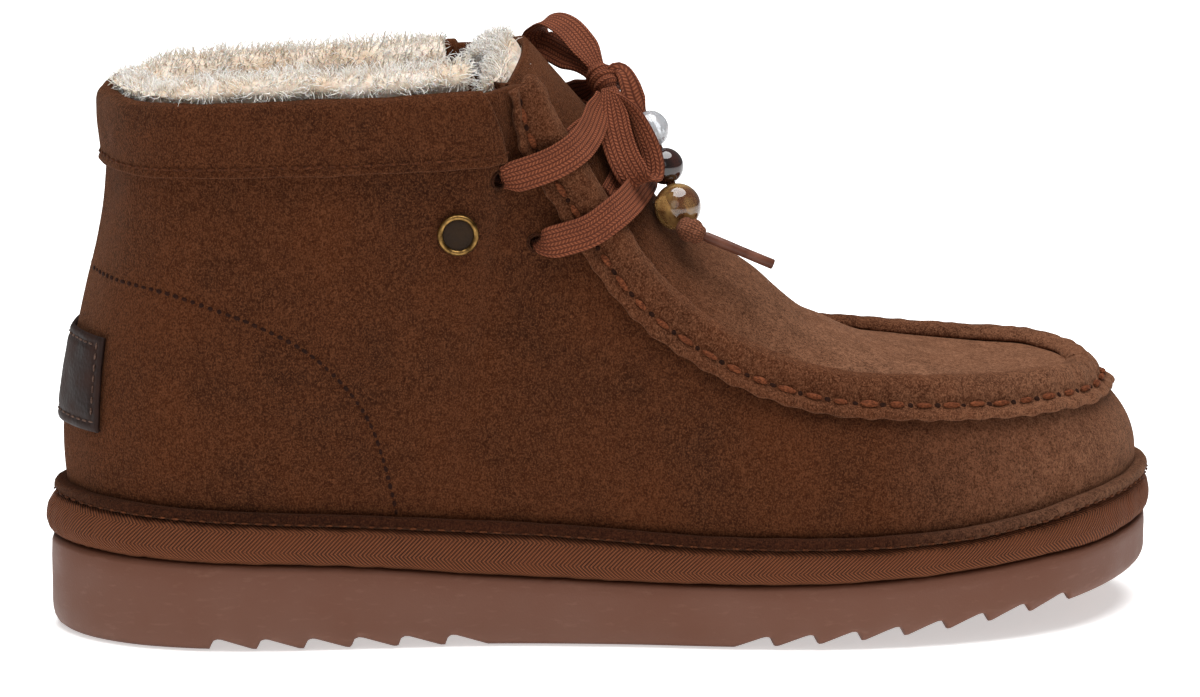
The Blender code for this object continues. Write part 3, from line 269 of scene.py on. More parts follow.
def make_mesh(name: str, points: np.ndarray, faces: list, uv: np.ndarray | None = None,
              middle: Callable | None = None) -> bpy.types.Mesh:
    """A mesh with its doubles merged and its faces pointing out of it.

    Args:
        name: The mesh's name.
        points: Places, in any grid shape.
        faces: Tuples of point numbers.
        uv: Where each point lies on its cloth, in metres.
        middle: For an open sheet, gives the place that a face at some place turns its back to.

    Returns:
        The mesh, shaded smooth.
    """
    mesh = bpy.data.meshes.new(name)
    mesh.from_pydata(np.reshape(points, (-1, 3)).tolist(), [], faces)
    if uv is not None:
        corners = np.empty(len(mesh.loops), np.int32)
        mesh.loops.foreach_get("vertex_index", corners)
        layer = mesh.uv_layers.new(name="lay")
        layer.data.foreach_set("uv", np.reshape(uv, (-1, 2))[corners].ravel())
    bm = bmesh.new()
    bm.from_mesh(mesh)
    bmesh.ops.remove_doubles(bm, verts=bm.verts, dist=1e-6)
    bmesh.ops.recalc_face_normals(bm, faces=bm.faces)
    if middle is None:
        turned = bm.calc_volume(signed=True) < 0
    else:
        vote = 0.0
        for face in bm.faces:
            spot = face.calc_center_median()
            vote += face.calc_area() * face.normal.dot(spot - middle(spot))
        turned = vote < 0
    if turned:
        bmesh.ops.reverse_faces(bm, faces=bm.faces)
    bm.to_mesh(mesh)
    bm.free()
    mesh.shade_smooth()
    return mesh


def heart(spot: Vector) -> Vector:
    """The place inside the boot that a spot of its skin turns its back to."""
    waist = SOLE_LENGTH / 3
    return Vector((min(max(spot.x, -waist), waist), 0, 0.4 * spot.z))


def swept_mesh(name: str, sections: np.ndarray, runs: np.ndarray | None = None,
               looped: bool = False) -> bpy.types.Mesh:
    """A closed solid through rings of one size.

    Args:
        name: The mesh's name.
        sections: Rings of places: section, place on the ring, coordinate.
        runs: How far along the sweep each section is, for the UV map.
        looped: True where the last section repeats the first.

    Returns:
        The mesh, with u along the sweep and v round the ring.
    """
    rings = np.concatenate([sections, sections[:, :1]], axis=1)
    count, size = rings.shape[:2]
    if runs is None:
        runs = run_along(sections.mean(axis=1))
    girth = np.linalg.norm(np.diff(rings, axis=1), axis=2).mean(axis=0)
    round_way = np.concatenate([[0], np.cumsum(girth)])
    uv = np.stack(np.broadcast_arrays(runs[:, None], round_way[None]), axis=-1)
    faces = grid_faces(count, size)
    if not looped:
        faces.append(tuple(range(size - 1)))
        faces.append(tuple((count - 1) * size + i for i in range(size - 2, -1, -1)))
    return make_mesh(name, rings, faces, uv)


def placed(name: str, data: bpy.types.ID) -> bpy.types.Object:
    """A new object in the scene."""
    item = bpy.data.objects.new(name, data)
    bpy.context.scene.collection.objects.link(item)
    return item


def worked(mesh: bpy.types.Mesh, *steps: tuple) -> bpy.types.Mesh:
    """Runs modifiers on a mesh.

    Args:
        mesh: The mesh to start from, which is removed.
        steps: Pairs of a modifier's type and its settings.

    Returns:
        The plain mesh that comes out.
    """
    item = placed("work", mesh)
    for kind, settings in steps:
        modifier = item.modifiers.new(kind, kind)
        for key, value in settings.items():
            setattr(modifier, key, value)
    return plain(item, mesh.name)


def plain(item: bpy.types.Object, name: str) -> bpy.types.Mesh:
    """The plain mesh of an object as its modifiers leave it; the object is removed."""
    graph = bpy.context.evaluated_depsgraph_get()
    graph.update()
    shaped = item.evaluated_get(graph)
    result = bpy.data.meshes.new_from_object(shaped, preserve_all_data_layers=True,
                                             depsgraph=graph)
    source = item.data
    item.modifiers.clear()
    bpy.data.objects.remove(item, do_unlink=True)
    bpy.data.meshes.remove(source)
    result.name = name
    result.shade_smooth()
    return result


def rounded(mesh: bpy.types.Mesh, levels: int = 2) -> bpy.types.Mesh:
    """A mesh smoothed by subdivision."""
    return worked(mesh, ("SUBSURF", {"levels": levels, "render_levels": levels}))


def walled(mesh: bpy.types.Mesh, thickness: float) -> bpy.types.Mesh:
    """A sheet given its thickness, inwards from its face."""
    return worked(mesh, ("SOLIDIFY", {"thickness": thickness, "offset": -1}))


def places_of(mesh: bpy.types.Mesh) -> np.ndarray:
    """The mesh's points as rows."""
    rows = np.empty(3 * len(mesh.vertices), np.float32)
    mesh.vertices.foreach_get("co", rows)
    return rows.reshape(-1, 3).astype(float)


def normals_of(mesh: bpy.types.Mesh) -> np.ndarray:
    """The mesh's point normals as rows."""
    rows = np.empty(3 * len(mesh.vertices), np.float32)
    mesh.vertex_normals.foreach_get("vector", rows)
    return rows.reshape(-1, 3).astype(float)


def lay_of(mesh: bpy.types.Mesh) -> np.ndarray:
    """The UV place of each point of a mesh."""
    corners = np.empty(len(mesh.loops), np.int32)
    mesh.loops.foreach_get("vertex_index", corners)
    places = np.empty(2 * len(mesh.loops), np.float32)
    mesh.uv_layers[0].data.foreach_get("uv", places)
    rows = np.zeros((len(mesh.vertices), 2))
    rows[corners] = places.reshape(-1, 2)
    return rows


def pushed(mesh: bpy.types.Mesh, amount: np.ndarray) -> bpy.types.Mesh:
    """The mesh with each point moved out along its normal by its own amount."""
    places = places_of(mesh) + normals_of(mesh) * np.asarray(amount)[:, None]
    mesh.vertices.foreach_set("co", places.astype(np.float32).ravel())
    mesh.update()
    return mesh


def lumps(places: np.ndarray, size: float, seed: float = 0.0) -> np.ndarray:
    """Soft random swells between about -1 and 1 of a given size, at places."""
    shift = Vector((seed, 2.3 * seed, -1.7 * seed))
    return np.array([noise.noise(Vector(p) / size + shift) for p in places])


class Crease(NamedTuple):
    """A soft trough drawn as listed, or a ridge where its depth is negative, in millimetres."""

    points: tuple
    width: float
    depth: float


def creased(flat: np.ndarray, creases: Sequence[Crease]) -> np.ndarray:
    """How far creases move places out of a surface.

    Args:
        flat: Two coordinates of each place, in the plane that the creases are drawn in.
        creases: The creases.

    Returns:
        The move along the normal, in metres.
    """
    total = np.zeros(len(flat))
    for crease in creases:
        line = smooth_path([(x * MM, z * MM, 0.0) for x, z in crease.points], 1.5 * MM)[:, :2]
        share = np.linspace(0, 1, len(line))
        strength = np.sin(np.pi * np.clip(share, 0.02, 0.98)) ** 0.6
        gap = np.linalg.norm(flat[:, None] - line[None], axis=2)
        shape = np.exp(-(gap / (crease.width * MM)) ** 2) * strength[None]
        total -= crease.depth * MM * shape.max(axis=1)
    return total


# Finishes

def colour(red: float, green: float, blue: float) -> tuple:
    """A picture colour, 0 to 255, as the linear colour that shaders take."""
    return tuple((c / 255 / 12.92) if c < 10 else ((c / 255 + 0.055) / 1.055) ** 2.4
                 for c in (red, green, blue)) + (1.0,)


class Dye:
    """Builds one finish's shader tree, node by node."""

    def __init__(self, name: str) -> None:
        """Start a material with its plain shader."""
        self.material = bpy.data.materials.new(name)
        self.material.use_nodes = True
        self.tree = self.material.node_tree
        self.shader = self.tree.nodes["Principled BSDF"]
        self.coordinates = self.tree.nodes.new("ShaderNodeTexCoord")

    def feed(self, socket: bpy.types.NodeSocket, value: object) -> None:
        """Link a socket to another, or set its value."""
        if isinstance(value, bpy.types.NodeSocket):
            self.tree.links.new(value, socket)
        else:
            socket.default_value = value

    def add(self, kind: str, inputs: dict, **settings: object) -> bpy.types.Node:
        """A new node with its settings made and its inputs fed."""
        node = self.tree.nodes.new(kind)
        for key, value in settings.items():
            setattr(node, key, value)
        for key, value in inputs.items():
            self.feed(node.inputs[key], value)
        return node

    def place(self, scale: tuple = (1, 1, 1)) -> bpy.types.NodeSocket:
        """Object coordinates, stretched."""
        return self.add("ShaderNodeMapping", {"Vector": self.coordinates.outputs["Object"],
                                              "Scale": scale}).outputs[0]

    def grain(self, size: float, detail: float = 2.0, stretch: tuple = (1, 1, 1),
              roughness: float = 0.5) -> bpy.types.NodeSocket:
        """Noise in the object's own coordinates whose grains are about a size."""
        return self.add("ShaderNodeTexNoise", {
            "Vector": self.place(stretch), "Scale": 1 / size, "Detail": detail,
            "Roughness": roughness}).outputs[0]

    def sum(self, operation: str, a: object, b: object = 0.0) -> bpy.types.NodeSocket:
        """One step of arithmetic."""
        return self.add("ShaderNodeMath", {0: a, 1: b}, operation=operation).outputs[0]

    def span(self, value: object, low: float, high: float, start: float = 0.0,
             end: float = 1.0) -> bpy.types.NodeSocket:
        """A value carried from one range to another, and held inside it."""
        return self.add("ShaderNodeMapRange", {
            "Value": value, "From Min": low, "From Max": high, "To Min": start,
            "To Max": end}).outputs[0]

    def blend(self, share: object, a: object, b: object) -> bpy.types.NodeSocket:
        """Two colours mixed by a share."""
        node = self.tree.nodes.new("ShaderNodeMix")
        node.data_type = "RGBA"
        self.feed(node.inputs[0], share)
        self.feed(node.inputs[6], a)
        self.feed(node.inputs[7], b)
        return node.outputs[2]

    def axes(self, source: bpy.types.NodeSocket) -> tuple:
        """The three parts of a vector."""
        node = self.add("ShaderNodeSeparateXYZ", {0: source})
        return node.outputs[0], node.outputs[1], node.outputs[2]

    def relief(self, height: object, distance: float, strength: float = 1.0) -> None:
        """Raise the surface by a height."""
        bump = self.add("ShaderNodeBump", {"Strength": strength, "Distance": distance,
                                           "Height": height})
        self.feed(self.shader.inputs["Normal"], bump.outputs[0])

    def coat(self, **values: object) -> bpy.types.Material:
        """Set the shader's own sockets, by name with _ for a space, and return the material."""
        for key, value in values.items():
            self.feed(self.shader.inputs[key.replace("_", " ")], value)
        return self.material


@dataclass(frozen=True)
class Suede:
    """Brushed suede: clouds of nap over a fine fibre, with a painted highlight towards the toe for
    the top light and the nap's sheen.
    """

    name: str
    dark: tuple = (42, 19, 8)
    middle: tuple = (68, 33, 14)
    light: tuple = (106, 64, 40)
    # The pale colour and the three fields after it paint a highlight: the top light and the nap's
    # sheen, growing along x towards the toe.
    pale: tuple = (170, 122, 94)
    pale_from: float = 62 * MM
    pale_to: float = 112 * MM
    pale_share: float = 0.3
    cloud: float = 24 * MM
    patch: float = 5 * MM
    fibre: float = 0.4 * MM

    def build(self) -> bpy.types.Material:
        """The material."""
        dye = Dye(self.name)
        cloud = dye.span(dye.grain(self.cloud, 3.0), 0.36, 0.66)
        patch = dye.span(dye.grain(self.patch, 3.0), 0.3, 0.7)
        fibre = dye.span(dye.grain(self.fibre, 2.0, (1, 1, 0.8), 0.7), 0.3, 0.7)
        brushed = dye.span(dye.grain(1.1 * MM, 3.0, (1, 1, 0.8)), 0.38, 0.72)
        base = dye.blend(cloud, colour(*self.dark), colour(*self.middle))
        base = dye.blend(dye.sum("MULTIPLY", patch, 0.55), base, colour(*self.middle))
        base = dye.blend(dye.sum("MULTIPLY", brushed, 0.36), base, colour(*self.light))
        # Painted highlight: along x the colour is mixed towards pale, in patches, standing in for
        # the top light and the nap's sheen.
        along = dye.axes(dye.coordinates.outputs["Object"])[0]
        wear_and_sheen = dye.span(along, self.pale_from, self.pale_to, 0.0, self.pale_share)
        scuff_and_sheen = dye.sum("MULTIPLY", dye.span(patch, 0, 1, 0.5, 1.0),
                         dye.span(brushed, 0, 1, 0.55, 1.35))
        base = dye.blend(dye.sum("MULTIPLY", wear_and_sheen, scuff_and_sheen), base, colour(*self.pale))
        # The fibre flecks also turn pale towards the toe, as part of the same painted highlight.
        flecks = dye.span(fibre, 0.45, 1.0, 0.0, 0.75)
        base = dye.blend(flecks, base, dye.blend(wear_and_sheen, colour(*self.light), colour(*self.pale)))
        base = dye.blend(dye.span(fibre, 0.0, 0.45, 0.85, 0.0), base, colour(*self.dark))
        height = dye.sum("ADD", fibre, dye.sum("MULTIPLY", patch, 0.7))
        dye.relief(height, 0.26 * MM, 0.8)
        return dye.coat(Base_Color=base, Roughness=0.92, Specular_IOR_Level=0.06,
                        Sheen_Weight=0.15, Sheen_Roughness=0.4,
                        Sheen_Tint=colour(222, 170, 134))


@dataclass(frozen=True)
class FoamRubber:
    """Matt moulded sole, scuffed in streaks and slightly lighter towards the floor."""

    name: str
    low: tuple = (104, 66, 49)
    high: tuple = (98, 58, 40)
    scuff: tuple = (128, 92, 76)

    def build(self) -> bpy.types.Material:
        """The material."""
        dye = Dye(self.name)
        up = dye.axes(dye.coordinates.outputs["Object"])[2]
        rise = dye.span(up, 0.0, 16 * MM)
        cloud = dye.span(dye.grain(16 * MM, 3.0), 0.3, 0.7)
        base = dye.blend(dye.sum("ADD", dye.sum("MULTIPLY", rise, 0.75),
                                 dye.sum("MULTIPLY", cloud, 0.25)),
                         colour(*self.low), colour(*self.high))
        scuff_and_sheen = dye.span(dye.grain(1.2 * MM, 4.0, (0.3, 0.3, 1)), 0.58, 0.78, 0.0, 0.3)
        base = dye.blend(scuff_and_sheen, base, colour(*self.scuff))
        dye.relief(dye.grain(0.5 * MM, 3.0), 0.12 * MM, 0.5)
        return dye.coat(Base_Color=base, Roughness=dye.span(cloud, 0, 1, 0.5, 0.68),
                        Specular_IOR_Level=0.35)


@dataclass(frozen=True)
class HerringboneTape:
    """Woven tape whose ribs turn back along its length, u along it and v across."""

    name: str
    dark: tuple = (40, 18, 9)
    middle: tuple = (102, 54, 29)
    light: tuple = (150, 94, 62)
    rib: float = 1.0 * MM
    stripe: float = 4.6 * MM

    def build(self) -> bpy.types.Material:
        """The material."""
        dye = Dye(self.name)
        along, across, _ = dye.axes(dye.coordinates.outputs["UV"])
        turn = dye.sum("PINGPONG", across, self.stripe)
        slant = dye.sum("ADD", along, turn)
        wave = dye.sum("SINE", dye.sum("MULTIPLY", slant, 2 * math.pi / self.rib))
        rib = dye.span(wave, -1, 1)
        thread = dye.span(dye.sum("SINE", dye.sum("MULTIPLY", dye.sum("SUBTRACT", along, turn),
                                                  2 * math.pi / (0.6 * self.rib))), -1, 1)
        wear_and_sheen = dye.span(dye.grain(7 * MM, 3.0), 0.35, 0.7)
        base = dye.blend(rib, colour(*self.dark), colour(*self.middle))
        base = dye.blend(dye.sum("MULTIPLY", dye.sum("MULTIPLY", rib, thread), 0.5), base,
                         colour(*self.light))
        base = dye.blend(dye.sum("MULTIPLY", wear_and_sheen, 0.3), base, colour(*self.middle))
        dye.relief(dye.sum("ADD", rib, dye.sum("MULTIPLY", thread, 0.4)), 0.22 * MM, 0.8)
        return dye.coat(Base_Color=base, Roughness=0.85, Specular_IOR_Level=0.15,
                        Sheen_Weight=0.05, Sheen_Roughness=0.5,
                        Sheen_Tint=colour(214, 150, 110))


@dataclass(frozen=True)
class FlatBraid:
    """Flat braided lace: columns of small leaning stitches, u along it and v across."""

    name: str
    dark: tuple = (70, 30, 15)
    middle: tuple = (118, 60, 35)
    light: tuple = (160, 96, 66)
    column: float = 0.98 * MM
    stitch: float = 0.9 * MM

    def build(self) -> bpy.types.Material:
        """The material."""
        dye = Dye(self.name)
        along, across, _ = dye.axes(dye.coordinates.outputs["UV"])
        lean = dye.sum("PINGPONG", dye.sum("ADD", across, 20 * self.column), self.column)
        slant = dye.sum("ADD", along, dye.sum("MULTIPLY", lean, 0.8))
        wave = dye.sum("SINE", dye.sum("MULTIPLY", slant, 2 * math.pi / self.stitch))
        knot = dye.span(wave, -1, 0.8, 0.4, 1.0)
        groove = dye.sum("SINE", dye.sum("MULTIPLY", lean, math.pi / self.column))
        height = dye.sum("MULTIPLY", knot, dye.span(groove, 0, 0.7))
        base = dye.blend(height, colour(*self.dark), colour(*self.middle))
        base = dye.blend(dye.span(height, 0.6, 1.0, 0.0, 0.4), base, colour(*self.light))
        base = dye.blend(dye.span(dye.grain(4 * MM, 2.0), 0.4, 0.7, 0.0, 0.25), base,
                         colour(*self.dark))
        dye.relief(height, 0.3 * MM, 0.8)
        return dye.coat(Base_Color=base, Roughness=0.82, Specular_IOR_Level=0.2,
                        Sheen_Weight=0.06, Sheen_Roughness=0.5,
                        Sheen_Tint=colour(214, 150, 110))


@dataclass(frozen=True)
class Fleece:
    """Sheep's wool: near white at the tips of its locks, and cream at their roots as painted shade
    of the fleece's depth.
    """

    name: str
    # The root colour is painted shade: its cream stands for the shade deep in the fleece.
    root: tuple = (214, 190, 164)
    body: tuple = (240, 229, 214)
    tip: tuple = (253, 250, 245)

    def build(self) -> bpy.types.Material:
        """The material."""
        dye = Dye(self.name)
        grown = dye.add("ShaderNodeAttribute", {}, attribute_name="tip").outputs["Fac"]
        cloud = dye.span(dye.grain(9 * MM, 3.0), 0.35, 0.7)
        curl = dye.span(dye.grain(1.1 * MM, 4.0), 0.3, 0.7)
        # Painted shade: the roots, and the padded body that has no tip value, take the cream root
        # colour.
        base = dye.blend(dye.span(grown, 0.0, 0.45), colour(*self.root), colour(*self.body))
        base = dye.blend(dye.sum("MULTIPLY", cloud, 0.55), base, colour(*self.tip))
        base = dye.blend(dye.span(grown, 0.3, 1.0), base, colour(*self.tip))
        dye.relief(curl, 0.5 * MM, 0.6)
        return dye.coat(Base_Color=base, Roughness=1.0, Specular_IOR_Level=0.05,
                        Sheen_Weight=0.4, Sheen_Roughness=0.6,
                        Subsurface_Weight=0.15, Subsurface_Scale=3 * MM)


@dataclass(frozen=True)
class GrainLeather:
    """Smooth leather with a pebbled grain."""

    name: str
    dark: tuple = (26, 14, 11)
    light: tuple = (48, 28, 21)
    pebble: float = 1.1 * MM
    gloss: float = 0.5

    def build(self) -> bpy.types.Material:
        """The material."""
        dye = Dye(self.name)
        cells = dye.add("ShaderNodeTexVoronoi", {"Vector": dye.place(), "Scale": 1 / self.pebble})
        cell = dye.span(cells.outputs["Distance"], 0.0, 0.7)
        cloud = dye.span(dye.grain(6 * MM, 3.0), 0.3, 0.7)
        base = dye.blend(dye.sum("MULTIPLY", cloud, 0.8), colour(*self.dark),
                         colour(*self.light))
        dye.relief(dye.sum("SUBTRACT", 1.0, cell), 0.12 * MM, 0.5)
        return dye.coat(Base_Color=base, Specular_IOR_Level=0.15,
                        Roughness=dye.span(cloud, 0, 1, self.gloss, self.gloss + 0.2))


@dataclass(frozen=True)
class Thread:
    """Waxed sewing thread with a twist."""

    name: str
    dark: tuple = (76, 37, 19)
    light: tuple = (124, 69, 42)

    def build(self) -> bpy.types.Material:
        """The material."""
        dye = Dye(self.name)
        twist = dye.span(dye.grain(0.7 * MM, 2.0, (1, 1, 1.8)), 0.35, 0.65)
        cloud = dye.span(dye.grain(9 * MM, 2.0), 0.35, 0.65)
        base = dye.blend(twist, colour(*self.dark), colour(*self.light))
        base = dye.blend(dye.sum("MULTIPLY", cloud, 0.35), base, colour(*self.dark))
        dye.relief(twist, 0.2 * MM, 0.7)
        return dye.coat(Base_Color=base, Roughness=0.8, Specular_IOR_Level=0.1)


@dataclass(frozen=True)
class OldBrass:
    """Aged brass with lighter, smoother spots of wear."""

    name: str
    dark: tuple = (66, 46, 22)
    light: tuple = (150, 116, 66)

    def build(self) -> bpy.types.Material:
        """The material."""
        dye = Dye(self.name)
        wear_and_sheen = dye.span(dye.grain(1.6 * MM, 4.0), 0.35, 0.65)
        base = dye.blend(wear_and_sheen, colour(*self.dark), colour(*self.light))
        dye.relief(dye.grain(0.4 * MM, 3.0), 0.05 * MM, 0.4)
        return dye.coat(Base_Color=base, Metallic=1.0, Roughness=dye.span(wear_and_sheen, 0, 1, 0.45, 0.28))


@dataclass(frozen=True)
class BeadGlass:
    """A glass bead, clouded inside."""

    name: str
    deep: tuple
    bright: tuple
    clear: float
    swirl: float = 6 * MM

    def build(self) -> bpy.types.Material:
        """The material."""
        dye = Dye(self.name)
        swirl = dye.span(dye.grain(self.swirl, 3.0, (1, 1.6, 0.7)), 0.38, 0.62)
        base = dye.blend(swirl, colour(*self.deep), colour(*self.bright))
        return dye.coat(Base_Color=base, Roughness=dye.span(swirl, 0, 1, 0.03, 0.08),
                        Transmission_Weight=self.clear, IOR=1.5, Coat_Weight=0.6,
                        Coat_Roughness=0.03)


@dataclass(frozen=True)
class StudioPaper:
    """The pale floor, glowing a little so that it stays near white."""

    name: str
    shade: tuple = (250, 250, 250)

    def build(self) -> bpy.types.Material:
        """The material."""
        dye = Dye(self.name)
        cloud = dye.span(dye.grain(0.4, 2.0), 0.3, 0.7)
        base = dye.blend(dye.sum("MULTIPLY", cloud, 0.1), colour(*self.shade),
                         colour(244, 244, 245))
        return dye.coat(Base_Color=base, Roughness=0.9, Specular_IOR_Level=0.1,
                        Emission_Color=(1.0, 1.0, 1.0, 1.0), Emission_Strength=0.5)


# Shared surfaces of the boot

class Side(Enum):
    """A side of the right shoe, as the sign of its y."""

    OUTER = -1
    INNER = 1


def both_sides(rows: Sequence) -> list:
    """Rows down the outer side and back up the inner one, each with its side."""
    return [(r, Side.OUTER) for r in rows] + [(r, Side.INNER) for r in rows[-2::-1]]


@dataclass
class BootForm:
    """The boot's main surfaces, worked out from the tables at the top."""

    heel_stack: float = 22.5 * MM
    band_height: float = 10.5 * MM
    toe_spring: float = 10.5 * MM
    spring_start: float = 0.60
    heel_feather: float = 5.6 * MM
    toe_feather: float = 4.2 * MM
    toe_shift: float = 0.06
    throat_row: float = 10.2
    dense: int = 1440

    def __post_init__(self) -> None:
        """Lay out the columns, the feather line and the skin that overlays lie on."""
        stations = [s.along for s in STACKS]
        self.outsole_column = rising_curve(stations, [s.outsole for s in STACKS])
        self.band_column = rising_curve(stations, [s.band for s in STACKS])
        self.loop = self.inset_outline(self.feather_inset, self.dense)
        self.normals = outward(self.loop)
        rows = np.arange(len(EDGES), dtype=float)
        self.columns = {name: rising_curve(rows, [getattr(e, name) for e in EDGES])
                        for name in Edge._fields}
        self.arcs = {side: rising_curve(rows, [self.arc_at(e.foot, side) for e in EDGES])
                     for side in Side}
        self.skin = self.skin_tree()

    def underside(self, x: np.ndarray) -> np.ndarray:
        """Height of the outsole's underside: flat, then the toe spring."""
        t = (x / SOLE_LENGTH + 0.5 - self.spring_start) / (1 - self.spring_start)
        return self.toe_spring * np.maximum(0.0, t) ** 1.45

    def outsole_top(self, x: np.ndarray) -> np.ndarray:
        """Height of the outsole's top face."""
        return self.heel_stack * self.outsole_column(x / SOLE_LENGTH + 0.5)

    def band_top(self, x: np.ndarray) -> np.ndarray:
        """Height of the taped platform's top face."""
        return self.outsole_top(x) + self.band_height * self.band_column(x / SOLE_LENGTH + 0.5)

    def feather_inset(self, x: np.ndarray) -> np.ndarray:
        """How far the upper's foot stands in from the band."""
        share = x / SOLE_LENGTH + 0.5
        return self.heel_feather + (self.toe_feather - self.heel_feather) * share

    def outline(self, count: int) -> np.ndarray:
        """The band's outline from above, from the heel's tip round the outer side."""
        heel = (station_x(0), 0)
        toe = (station_x(1), self.toe_shift * BALL_WIDTH)
        outer = [(station_x(g.along), -g.lateral * BALL_WIDTH) for g in GIRTHS]
        inner = [(station_x(g.along), g.medial * BALL_WIDTH) for g in GIRTHS]
        return smooth_loop([heel] + outer + [toe] + inner[::-1], count)

    def inset_outline(self, inset: float | Callable, count: int) -> np.ndarray:
        """The outline moved in by a distance, or by one that a function of x gives."""
        loop = self.outline(count)
        depth = inset(loop[:, 0]) if callable(inset) else np.full(count, inset)
        return loop - outward(loop) * depth[:, None]

    def arc_at(self, share: float, side: Side) -> float:
        """Share of the way round the feather line where a side passes a station."""
        half = self.dense // 2
        if share <= 0:
            return 0.0 if side is Side.OUTER else 1.0
        if share >= 1:
            return 0.5
        order = range(half + 1) if side is Side.OUTER else range(self.dense, half - 1, -1)
        for k in order:
            if self.loop[k % self.dense][0] / SOLE_LENGTH + 0.5 >= share:
                return k / self.dense
        return 0.5

    def foot(self, row: np.ndarray, side: Side) -> tuple:
        """Where rows start on the platform, and the ways out of the shoe there."""
        arc = self.arcs[side](row) * self.dense
        k = np.floor(arc).astype(int) % self.dense
        j = (k + 1) % self.dense
        t = (arc - np.floor(arc))[..., None]
        flat = self.loop[k] * (1 - t) + self.loop[j] * t
        out = unit(self.normals[k] * (1 - t) + self.normals[j] * t)
        height = self.band_top(flat[..., 0]) + GAP
        return (np.concatenate([flat, height[..., None]], axis=-1),
                np.concatenate([out, np.zeros_like(height)[..., None]], axis=-1))

    def edge_point(self, row: np.ndarray, x: str, rise: str, y: np.ndarray) -> np.ndarray:
        """A point above the row's station, from two named columns."""
        foot_z = self.band_top(station_x(self.columns["foot"](row)))
        return np.stack([station_x(self.columns[x](row)), y,
                         foot_z + self.columns[rise](row) * UPPER_HEIGHT], axis=-1)

    def top(self, row: np.ndarray, side: Side) -> np.ndarray:
        """The top edge of rows: collar rim, throat edge or apron seam."""
        row = np.asarray(row, float)
        width = self.columns["lateral" if side is Side.OUTER else "medial"](row) * BALL_WIDTH
        return self.edge_point(row, "x", "rise", side.value * width)

    def crown(self, row: np.ndarray) -> np.ndarray:
        """The middle of the apron and tongue across from rows."""
        row = np.asarray(row, float)
        return self.edge_point(row, "crown_x", "crown_rise", np.zeros_like(row))

    def wall(self, row: np.ndarray, side: Side, v: np.ndarray) -> np.ndarray:
        """Points of the side wall, v running from the sole to the top edge."""
        row, v = np.broadcast_arrays(np.asarray(row, float), np.asarray(v, float))
        foot, out = self.foot(row, side)
        low = 6.75 * v * (1 - v) ** 2 * self.columns["low"](row) * MM
        high = 6.75 * v * v * (1 - v) * self.columns["high"](row) * MM
        return foot + (self.top(row, side) - foot) * v[..., None] + out * (low + high)[..., None]

    def instep(self, row: np.ndarray, t: np.ndarray) -> np.ndarray:
        """Points of the apron or tongue, t from -1 at the outer seam to 1 at the inner."""
        row, t = np.broadcast_arrays(np.asarray(row, float), np.asarray(t, float))
        outer = self.top(row, Side.OUTER)
        inner = self.top(row, Side.INNER)
        middle = (outer + inner) / 2
        t = t[..., None]
        return middle + (inner - outer) / 2 * t + (self.crown(row) - middle) * (1 - t * t)

    def instep_normal(self, row: np.ndarray, t: np.ndarray) -> np.ndarray:
        """The ways out of the apron or tongue."""
        along = self.instep(row - 0.05, t) - self.instep(row + 0.05, t)
        across = self.instep(row, t + 0.03) - self.instep(row, t - 0.03)
        normal = unit(np.cross(along, across))
        return normal * np.where(normal[..., 2:] > 0, 1, -1)

    def even_rows(self, count: int) -> np.ndarray:
        """Row numbers at even steps along the upper's middle height."""
        rows = np.linspace(0, LAST_ROW, 900)
        run = run_along(self.wall(rows, Side.OUTER, 0.6))
        return np.interp(np.linspace(0, run[-1], count + 1), run, rows)

    def wall_grid(self, rows: np.ndarray, shares: np.ndarray) -> np.ndarray:
        """The wall from the heel round the outer side to the toe and back: level, place."""
        outer = self.wall(rows[None], Side.OUTER, shares[:, None])
        inner = self.wall(rows[None, ::-1], Side.INNER, shares[:, None])
        return np.concatenate([outer, inner], axis=1)

    def skin_tree(self) -> BVHTree:
        """The wall and apron as a search tree, so that overlays lie on them."""
        walls = self.wall_grid(self.even_rows(160), np.linspace(0, 1, 26))
        faces = grid_faces(*walls.shape[:2])
        rows = np.linspace(self.throat_row, LAST_ROW - 0.02, 80)
        apron = self.instep(rows[:, None], np.linspace(-1, 1, 25)[None])
        start = walls.shape[0] * walls.shape[1]
        faces += [[start + i for i in face] for face in grid_faces(80, 25)]
        points = np.concatenate([walls.reshape(-1, 3), apron.reshape(-1, 3)])
        return BVHTree.FromPolygons([Vector(p) for p in points], faces)

    def on_wall(self, target: np.ndarray, lift: float) -> np.ndarray:
        """The point of the skin nearest to a target, lifted off it."""
        spot, normal, _, _ = self.skin.find_nearest(Vector(target))
        if normal.dot(spot - heart(spot)) < 0:
            normal = -normal
        return np.array(spot + normal * lift)

    def through_wall(self, start: tuple, way: tuple) -> np.ndarray:
        """Where a line from inside the boot meets the skin."""
        return np.array(self.skin.ray_cast(Vector(start), Vector(way))[0])


# Repeated work: stitches and wool locks

